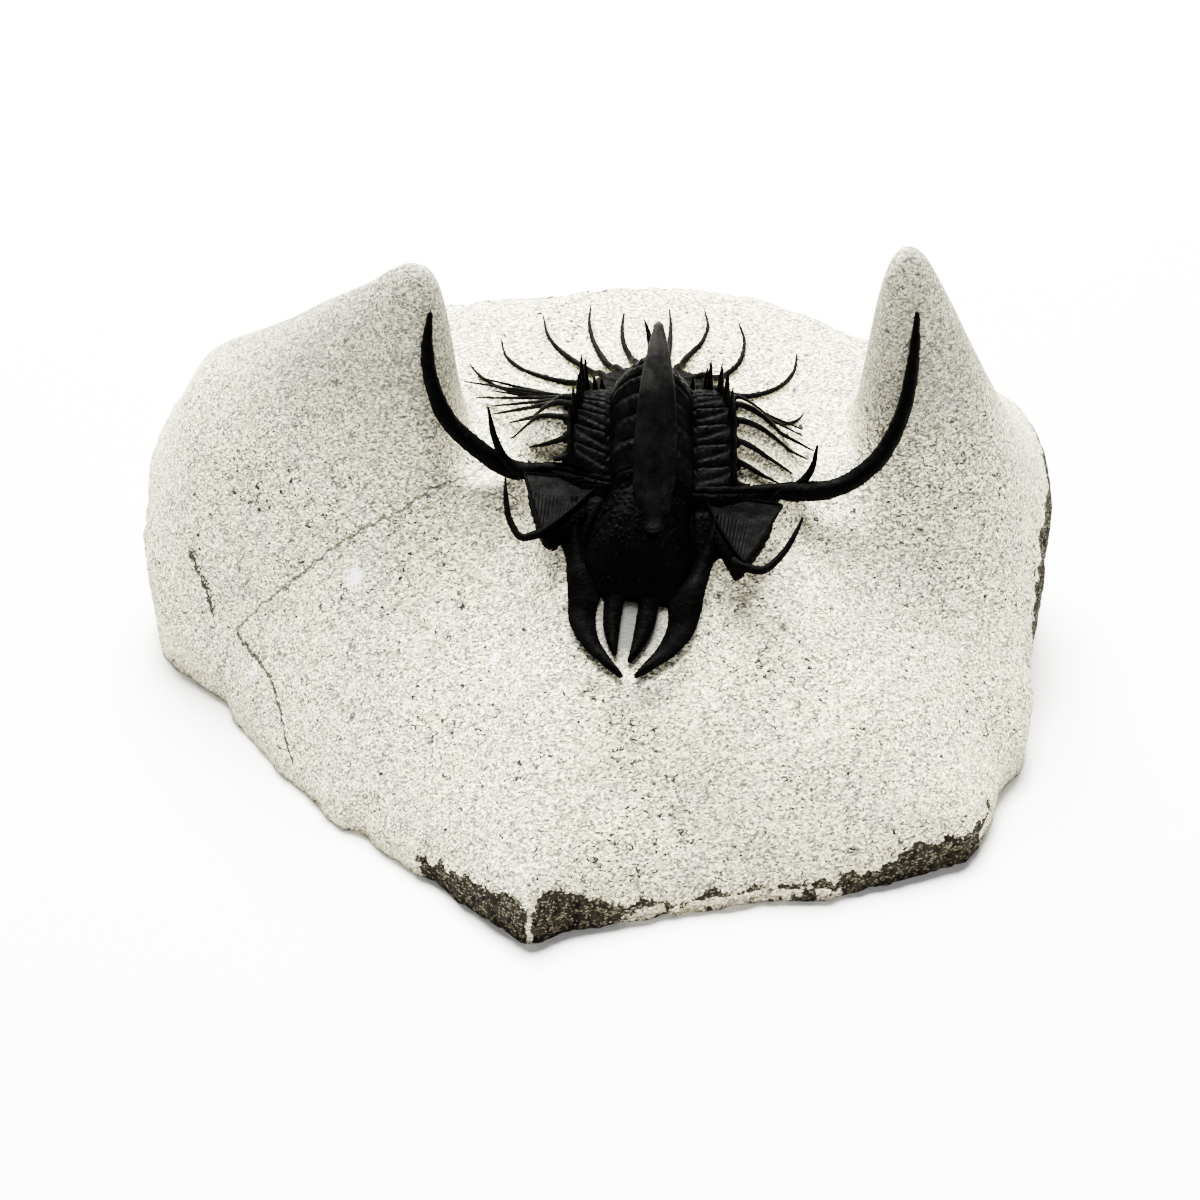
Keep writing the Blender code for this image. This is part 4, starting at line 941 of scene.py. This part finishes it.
# Raised side border of the head shield, up to an outer prong: u, v, half width.
SIDE_BORDER = [(9.3, 2.6, 0.5), (9.2, 5.2, 0.8), (8.3, 8.2, 1.2)]
HORN_ROOT = (6.4, -8.0, 34.4, 1.9, 1.6)
LEAF = (0, 1, 0)       # direction that an upright limb's width is square to


def warts(x, y, spots):
    """Rounded grains on the shell: each spot is x, y, radius, height."""
    out = np.zeros(np.shape(x))
    for sx, sy, size, high in spots:
        d = np.hypot(x - sx, y - sy) / size
        out = np.maximum(out, high * np.sqrt(unit(1 - d * d)))
    return out


def scatter(seed, x0, x1, y0, y1, pitch, keep):
    """Spots on a shaken grid, where keep(x, y) gives how large each may be."""
    rng = np.random.default_rng(seed)
    spots = []
    for j in range(int((y1 - y0) / (pitch * 0.87)) + 1):
        for i in range(int((x1 - x0) / pitch) + 1):
            x = x0 + (i + 0.5 * (j % 2)) * pitch + rng.uniform(-0.28, 0.28) * pitch
            y = y0 + j * pitch * 0.87 + rng.uniform(-0.28, 0.28) * pitch
            size = keep(x, y) * rng.uniform(0.75, 1.15)
            if size > 0.08:
                spots.append((x, y, size, size * 0.75))
    return spots


def lobe_share(u, v):
    """0 on the middle line of the glabella and 1 at its side."""
    return head_out(u, v) / smooth(GLABELLA_HALF, v)


def on_glabella(u, v):
    large = 0.75 + 0.25 * math.sin(3.1 * u + 2.3 * v)
    return 0.29 * step(1.02, 0.85, lobe_share(u, v)) * large


def on_cheek(u, v):
    return 0.17 * step(1.1, 1.25, lobe_share(u, v))


def head_relief(u, v, s, b):
    """Furrows and raised borders of the head shield."""
    cut = head_out(u, v) - smooth(GLABELLA_HALF, v)
    from_back = v - (BORDER_V - BORDER_SWEEP * u * u)
    from_side = (1 - np.abs(s)) * smooth(HEAD_HALF, b)
    beside = step(0.0, 1.5, head_out(u, v) - 1.0)
    relief = -0.55 * bell(cut, 0.45) * step(0.3, 1.2, from_back)
    relief = relief + 0.42 * bell(from_back - 0.55, 0.55)
    relief = relief - 0.5 * bell(from_back - 1.9, 0.55) * beside
    relief = relief + 0.3 * bell(from_side - 0.35, 0.4) - 0.35 * bell(from_side - 1.3, 0.45)
    relief = relief + 0.25 * bell(1 - b, 0.035) - 0.3 * bell(1 - b - 0.085, 0.03)
    for at, reach in ((3.6, 2.6), (5.9, 2.2), (8.0, 1.8)):
        gate = step(-reach - 0.7, -reach + 0.3, cut) * step(0.2, -0.2, cut)
        relief = relief - 0.38 * bell(v - at - 0.25 * cut, 0.32) * gate
    return relief


def head_piece(mat):
    """The shield of the head with its glabella and borders."""
    b, s = np.meshgrid(np.linspace(0, 1, 150), np.linspace(-1, 1, 250), indexing="ij")
    u, v = head_plan(s, b)
    narrow = 0.16 * step(0.5, 0.66, b) * step(1.0, 0.9, b)   # the front of the cheek on the right
    u = np.where(s > 0, u * (1 - narrow), u)
    z = head_height(u, v) + head_relief(u, v, s, b)
    z = z + warts(u, v, scatter(11, -8.5, 8.5, 0.9, 12.0, 0.82, on_glabella))
    z = z + warts(u, v, scatter(12, -16, 16, -3, 12, 0.7, on_cheek))
    shape = Shape()
    shape.plate(*from_head(u, v), z, 1.3, (0.05, 0.8, 15, 2))
    shape.build("head_shield", "cephalon", mat)


def prong_keel(t, turn):
    return 1 + 0.14 * np.abs(np.sin(turn)) ** 6 - 0.05 * np.sin(2 * turn) ** 2


def outer_prong_rows(line, inward):
    """An outer prong begins as the raised side border of the shield."""
    narrow = 1.1 if inward < 0 else 0.0
    border = [(-inward * (u - narrow), v, half) for u, v, half in SIDE_BORDER]
    rows = []
    for u, v, half in evenly(border + line[1:], 100):
        flare = 0.6 * step(9, 12, v) * step(14.6, 12.2, v)
        u += inward * flare / 2
        half += flare / 2
        z = head_height(u, v) + 0.1
        free = smooth(HEAD_DECK, v) - 0.2 - PRONG_LEAN * u
        z = z + (free - z) * step(6.0, 12.0, v) + 0.25 * step(9.0, 11.5, v) * step(15.0, 13.0, v)
        deep = PRONG_DEEP + 0.3 * step(14.5, 11.0, v)
        rows.append((*from_head(u, v), z, half, min(deep, half * 1.1)))
    return rows


def inner_prong_rows(line):
    """An inner prong flares where it leaves the shield, by a quarter circle."""
    rows = []
    for u, v, half in evenly(line, 100):
        d = np.clip(v - HEAD_FRONT, 0, FLARE)
        half += (FLARE - math.sqrt(max(0.0, 2 * FLARE * d - d * d))) * step(9, 12, v)
        z = smooth(HEAD_DECK, v) - 0.2 - PRONG_LEAN * u
        rows.append((*from_head(u, v), z, half, min(PRONG_DEEP, half * 1.1)))
    return rows


def closed_line(points, blur=10):
    """An even closed line through corner points, its corners rounded off a little, and how far
    round it, counted in corners, each point is."""
    p = np.array([*points, points[0]], float)
    s = np.concatenate([[0], np.cumsum(np.linalg.norm(np.diff(p[:, :2], axis=0), axis=1))])
    want = np.linspace(0, s[-1], EYE_TURN, endpoint=False)
    line = np.stack([np.interp(want, s, p[:, k]) for k in range(p.shape[1])], 1)
    for _ in range(blur):
        line = 0.5 * line + 0.25 * (np.roll(line, 1, 0) + np.roll(line, -1, 0))
    return line, np.interp(want, s, range(len(p)))


def eye_side(top, low, mark, middle):
    """Rows down an eye, from the rim of its lid to its foot, with courses of lenses."""
    outward = top[:, :2] - middle
    outward = outward / np.linalg.norm(outward, axis=1, keepdims=True)
    sees = step(0.9, 1.6, mark) * step(6.6, 6.0, mark)
    rows = []
    for k in np.linspace(0, 1, 34):
        row = top * (1 - k) + low * k
        fold = 0.12 * bell(k - 0.03, 0.03) - 0.3 * bell(k - 0.13, 0.06)
        fold = fold - 0.25 * bell(k - 0.88, 0.05)
        bulge = 0.75 * math.sin(math.pi * min(1, max(0, (k - 0.14) / 0.7)))
        course = (k - 0.2) / 0.095
        whole = math.floor(course + 0.5)
        cell = np.abs(np.cos(math.pi * (mark * 3.4 + 0.5 * (whole % 2)))) ** 1.5
        lens = 0.2 * cell * math.cos(math.pi * (course - whole)) ** 2 * (0.18 < k < 0.82)
        row[:, :2] += outward * (fold + (bulge + lens) * sees)[:, None]
        rows.append(row)
    return rows


def eye_lid(top, middle):
    """Rows from the rim of a lid to its middle: ribbed, with a raised rim."""
    centre = np.array([*middle, top[:, 2].mean()])
    rows = []
    for k in np.linspace(1, 0.02, 46):
        row = centre + (top - centre) * k
        u, v = row[:, 0], row[:, 1]
        across = (np.abs(u) - 10.5) / (1 + 0.03 * (8 - v))
        ribs = 0.03 * np.sin(2 * math.pi * across / 0.4 + 0.3 * np.sin(v * 1.3))
        gate = step(0.98, 0.86, k) * step(0.0, 0.15, k) * step(1.6, 3.4, v)
        dish = 0.35 * (1 - k ** 2) * step(-0.5, 2.0, v)
        row[:, 2] += ribs * gate + 0.26 * bell(k - 0.965, 0.035) - dish
        rows.append(row)
    return rows


def eye_piece(side, name, mat):
    """An eye: a ribbed lid with a raised rim, and the lens-bearing face under it."""
    lid, mark = closed_line(LID)
    foot, _ = closed_line(EYE_FOOT)
    u, v = side * lid[:, 0], lid[:, 1]
    top = np.stack([u, v, lid[:, 2] - head_roll(u, v)], 1)
    u, v = side * foot[:, 0], foot[:, 1]
    low = np.stack([u, v, np.minimum(head_height(u, v), prepared(*from_head(u, v))) - 0.5], 1)
    middle = (side * 11.2, 2.6)
    rows = np.array(eye_side(top, low, mark, middle)[::-1] + eye_lid(top, middle))
    rows[..., 0], rows[..., 1] = from_head(rows[..., 0], rows[..., 1])
    last = (len(rows) - 1) * EYE_TURN
    shape = Shape()
    shape.add(rows, hoop_faces(len(rows), EYE_TURN)
              + [range(EYE_TURN)[::-1], range(last, last + EYE_TURN)])
    shape.build(name, "cephalon", mat)


def horn_keel(t, turn):
    """Flattened, with sharp sides, and wrinkled at its root."""
    fold = np.sin(46 * t ** 0.8 + 1.1 * np.cos(turn) + 0.6 * np.sin(3 * turn))
    fold = 0.045 * fold * step(0.36, 0.12, t)
    fold = fold + 0.03 * np.sin(9 * turn + 30 * t) * step(0.34, 0.1, t)
    return 1 + 0.1 * np.abs(np.cos(turn)) ** 10 - 0.12 * np.sin(2 * turn) ** 2 + fold


def border_rows(side):
    """The rounded back border of the head, from the axis out to the root of a genal spine."""
    rows = []
    for u in (5.2, 7.4, 9.6, 11.6):
        at = (side * u, 0.45 - BORDER_SWEEP * u * u)
        rows.append((*from_head(*at), head_height(*at) + 0.1, 0.48 + 0.014 * u))
    return rows


def spine_rows(line, radius, root_z, count, tip, steady=False):
    """A spine that goes from the shell down to the stone and out along its strip."""
    pts = evenly(line, count)
    rest = prepared(pts[:, 0], pts[:, 1]) + RIDGE
    rows = []
    for (x, y), under, k in zip(pts, rest, np.linspace(0, 1, count)):
        r = radius * (1 - k) ** 0.75 + tip
        low = under + 0.25 * r
        if steady:
            z = max(low, root_z + (rest[-1] - root_z) * k)
        else:
            z = low + max(0.0, root_z - low) * max(0.0, 1 - k * 2.6) ** 1.6
        rows.append((x, y, z, r, r))
    return rows


def stem(count, wide, taper, at):
    """A standing spine: at(k) gives its middle line, k from 0 at its foot to 1."""
    return [(*at(k), *[wide * (1 - k) ** taper + 0.05] * 2) for k in np.linspace(0, 1, count)]


def segment_relief(b, t, half, edge):
    """Ring, ribs and furrows of a segment: b runs from its front to its rear, t across it."""
    far = np.abs(t)
    across = (far - half) / (edge - FLANK - half)
    on_ring = step(half + 0.35, half - 0.35, far)
    ring_face = 0.34 * np.sin(math.pi * unit(b * 1.25 - 0.2)) ** 0.8
    ring_face = ring_face - 0.42 * step(0.3, 0.08, b)
    furrow = bell(b - 0.34 - 0.3 * unit(across), 0.12)
    furrow = furrow * step(0.0, 0.15, across) * step(1.25, 0.9, across)
    rib = 0.22 * np.sin(math.pi * b) ** 0.6 - 0.24 * furrow - 0.3 * step(0.16, 0.0, b)
    between = 0.4 * bell(far - half, 0.38) + 0.16 * step(0.86, 1.0, b)
    return on_ring * ring_face + (1 - on_ring) * rib - between


def segment_spots(i, half, edge):
    """Grains in a row on the ring and two on the ribs, and a boss at each upright spine."""
    count = int(2 * half / 0.85)
    spots = [(-half + 2 * half * k / count, 0.62, 0.3, 0.22) for k in range(count + 1)]
    for side, uprights in ((-1, UPRIGHT_LEFT), (1, UPRIGHT_RIGHT)):
        for k in range(4):
            t = side * (half + 0.6 + k * (edge - half - 2.0) / 4)
            spots += [(t, 0.78, 0.2, 0.12), (t, 0.2, 0.18, 0.1)]
        spots.append((side * uprights[i][0], 0.5, 0.55, 0.3))
    return [(BODY_X + t, within(i, BODY_X + t, share), *size) for t, share, *size in spots]


def segment_piece(i, mat):
    """One segment of the thorax: ring, ribs, upright spines and side spines."""
    y = (CUTS[i] + CUTS[i + 1]) / 2
    half, edge = smooth(AXIS_HALF, y), smooth(EDGE_HALF, y)
    b, a = np.meshgrid(np.linspace(0, 1, 15), np.linspace(-1, 1, 150), indexing="ij")
    t = a * edge
    x = BODY_X + t
    front = cut_line(i, x) - 0.22
    rear = cut_line(i + 1, x) + 0.06
    mid = (front + rear) / 2
    narrow = 1 - 0.62 * step(edge - 1.7, edge, np.abs(t))
    y = mid + (front + (rear - front) * b - mid) * narrow
    z = thorax_height(x, y) - tent_drop(x, y) + segment_relief(b, t, half, edge)
    z = z + warts(x, y, segment_spots(i, half, edge))
    shape = Shape()
    shape.plate(x, y, z, 0.8, (0.1, 0.75, 16 + i, 3))

    thick = 0.42 * (CUTS[i + 1] - CUTS[i])
    wide = min(0.5, thick)
    for side, uprights in ((-1, UPRIGHT_LEFT), (1, UPRIGHT_RIGHT)):
        route = side_route(i, side)
        radius = min(0.36 if i < 5 else 0.22, thick)
        root_z = thorax_height(*route[0]) - 0.35
        shape.limb(spine_rows(route, radius, root_z, 34, 0.1, steady=True), 10)
        out, high = uprights[i]
        x = BODY_X + side * out
        y = within(i, x, 0.5)
        z = thorax_height(x, y) - 0.3
        shape.limb(stem(18, wide, 0.7, lambda k: (
            x + side * 0.12 * k, y + 0.1 * high * k * k, z + high * k)), 10, LEAF)
    high = MEDIAN[i]
    y = within(i, BODY_X, 0.6)
    z = thorax_height(BODY_X, y) - 0.2
    shape.limb(stem(14, wide, 0.8, lambda k: (
        BODY_X - 0.2 * high * k * k, y + 0.2 * high * k, z + high * k)), 10, LEAF)
    shape.build(f"thorax_plate_{i + 1:02d}", f"thoracic_segment_{i + 1:02d}", mat)


def tail_ribs(x, y):
    """Ribs that lead from the axis of the tail shield out to its spines."""
    ribs = np.zeros(x.shape)
    for (rx, ry), *_ in TAIL_SPINES:
        sx = BODY_X + math.copysign(smooth(AXIS_HALF, ry) * 0.9, rx - BODY_X)
        sy = ry - 0.55 * abs(rx - sx) ** 0.5 - 0.5
        bend = ((sx + rx) / 2, (sy + ry) / 2 - 0.1)
        d, _ = route_distance(x, y, [(sx, sy), bend, (rx, ry)])
        ribs = np.maximum(ribs, 0.42 * bell(d, 0.48))
    return ribs


def tail_piece(mat):
    """The tail shield: ringed axis, ribs and marginal spines."""
    b, a = np.meshgrid(np.linspace(0, 1, 90), np.linspace(-1, 1, 150), indexing="ij")
    y = CUTS[-1] + (TAIL_END - CUTS[-1]) * b
    x = BODY_X + a * tail_half(y)
    y = y + (cut_line(len(CUTS) - 1, x) - CUTS[-1] - 0.25) * (1 - b) ** 2
    t = np.abs(x - BODY_X)
    half = smooth(AXIS_HALF, y)
    axis = step(half + 0.3, half - 0.3, t) * step(25.0, 23.5, y)
    rings = 0.2 * np.cos(2 * math.pi * (y - 16.2) / 1.28 + 0.05 * t * t)
    z = tail_face(x, y) + axis * rings - 0.35 * bell(t - half, 0.4) * step(25.5, 24, y)
    z = z + (tail_ribs(x, y) - 0.12) * (1 - axis)
    z = z + warts(x, y, scatter(31, -3, 16, 15.5, 26, 0.8, lambda p, q: 0.16)) * 0.8
    shape = Shape()
    shape.plate(x, y, z, 0.8, (0.04, 0.7, 35, 2))
    for (rx, ry), *rest in TAIL_SPINES:
        reach = 0.86 * tail_half(ry)
        root = (BODY_X + max(-reach, min(reach, rx - BODY_X)), ry)
        rows = spine_rows([root, *rest], 0.42, tail_face(*root) - 0.3, 44, 0.09)
        shape.limb(rows, 10, grain=0.05)
    shape.build("tail_shield", "pygidium", mat)


# ---------------------------------------------------------------- stage
VIEW_DOWN = 40.0       # how far the camera looks down
VIEW_AT = (0, -0.004, 0.020)   # in metres, as are all lengths from here on but the lens
VIEW_FAR = 0.470
VIEW_LENS = 112.17
WORLD = 0.27           # strength of the light from all round
FLOOR_SIZE = 6.0
LAMP_AIM = (0, 0, 0.02)
# Lamps: name, place in metres, width, watts, colour.
LAMPS = [("key", (-0.06, 0.50, 0.87), 0.7, 202.0, (1.0, 0.99, 0.95)),
    ("fill", (0.4, -0.7, 0.5), 0.6, 1.5, (0.97, 0.98, 1.0))]


def make_stage():
    mesh = bpy.data.meshes.new("floor")
    bm = bmesh.new()
    bmesh.ops.create_grid(bm, x_segments=1, y_segments=1, size=FLOOR_SIZE)
    bm.to_mesh(mesh)
    bm.free()
    mesh.materials.append(Nodes("pale_floor").finish((0.93, 0.93, 0.93, 1), 0.9, 0.1))
    floor = bpy.data.objects.new("floor", mesh)
    bpy.context.scene.collection.objects.link(floor)
    world = bpy.context.scene.world = bpy.data.worlds.new("studio")
    world.use_nodes = True
    background = world.node_tree.nodes["Background"].inputs
    background["Color"].default_value = (1.0, 1.0, 1.0, 1)
    background["Strength"].default_value = WORLD
    for name, at, size, watts, colour in LAMPS:
        lamp = bpy.data.lights.new(name, "AREA")
        lamp.shape = "DISK"
        lamp.size = size
        lamp.energy = watts
        lamp.color = colour
        ob = bpy.data.objects.new(name, lamp)
        ob.location = at
        ob.rotation_euler = (Vector(LAMP_AIM) - Vector(at)).to_track_quat("-Z", "Y").to_euler()
        bpy.context.scene.collection.objects.link(ob)


def make_camera():
    """The view of the photo: 40 degrees down onto the front of the block."""
    down = math.radians(VIEW_DOWN)
    back = Vector((0, -math.cos(down), math.sin(down)))
    cam = bpy.data.objects.new("camera", bpy.data.cameras.new("camera"))
    bpy.context.scene.collection.objects.link(cam)
    cam.location = Vector(VIEW_AT) + back * VIEW_FAR
    cam.rotation_euler = back.to_track_quat("Z", "Y").to_euler()
    cam.data.sensor_width = 36
    cam.data.lens = VIEW_LENS
    cam.data.clip_start = 0.01
    cam.data.clip_end = 20
    bpy.context.scene.camera = cam


# ---------------------------------------------------------------- making it all
def head_limb(name, rows, sides, mat, grain, reference=LEAF, profile=None):
    shape = Shape()
    shape.limb(rows, sides, reference, profile, grain)
    shape.build(name, "cephalon", mat)


def make_head():
    """The shield, prongs, eyes, horn and spines, which all stand for the head's one solid.
    Their names say which side of the animal they are on."""
    black = shell_black("black_calcite", 0.0, 0.006)
    # grey calcite with painted light that makes the great horn paler towards its top
    painted_top_light = shell_black("grey_calcite_painted_top_light", 0.0012, 0.014, (0.047, 0.055))
    head_piece(black)
    for name, rows in (("prong_outer_right", outer_prong_rows(PRONGS[0], 1)),
                       ("prong_inner_right", inner_prong_rows(PRONGS[1])),
                       ("prong_inner_left", inner_prong_rows(PRONGS[2])),
                       ("prong_outer_left", outer_prong_rows(PRONGS[3], -1))):
        head_limb(name, rows, 24, black, 0.05, (0, 0, 1), prong_keel)
    eye_piece(-1, "eye_right", black)
    eye_piece(1, "eye_left", black)
    head_limb("great_horn", evenly([HORN_ROOT, *HORN], 130), 64, painted_top_light, 0.02, LEAF, horn_keel)
    for name, line, count, sides, grain in (
            ("genal_spine_right", border_rows(-1) + GENAL_LEFT[1:], 180, 22, 0.09),
            ("genal_spine_left", border_rows(1) + GENAL_RIGHT[1:], 180, 22, 0.09),
            ("side_spine_right", SIDE_LEFT, 60, 14, 0.03),
            ("side_spine_left", SIDE_RIGHT, 60, 14, 0.03),
            ("eye_horn_right", EYE_HORN_LEFT, 80, 14, 0.03),
            ("eye_horn_left", EYE_HORN_RIGHT, 80, 14, 0.03)):
        head_limb(name, evenly([(*p, p[3]) for p in line], count), sides, black, grain)


make_camera()
make_stage()
stone_piece()
make_head()
grey = shell_black("dark_grey_calcite", 0.0012, 0.012)
for number in range(SEGMENTS):
    segment_piece(number, grey)
tail_piece(grey)
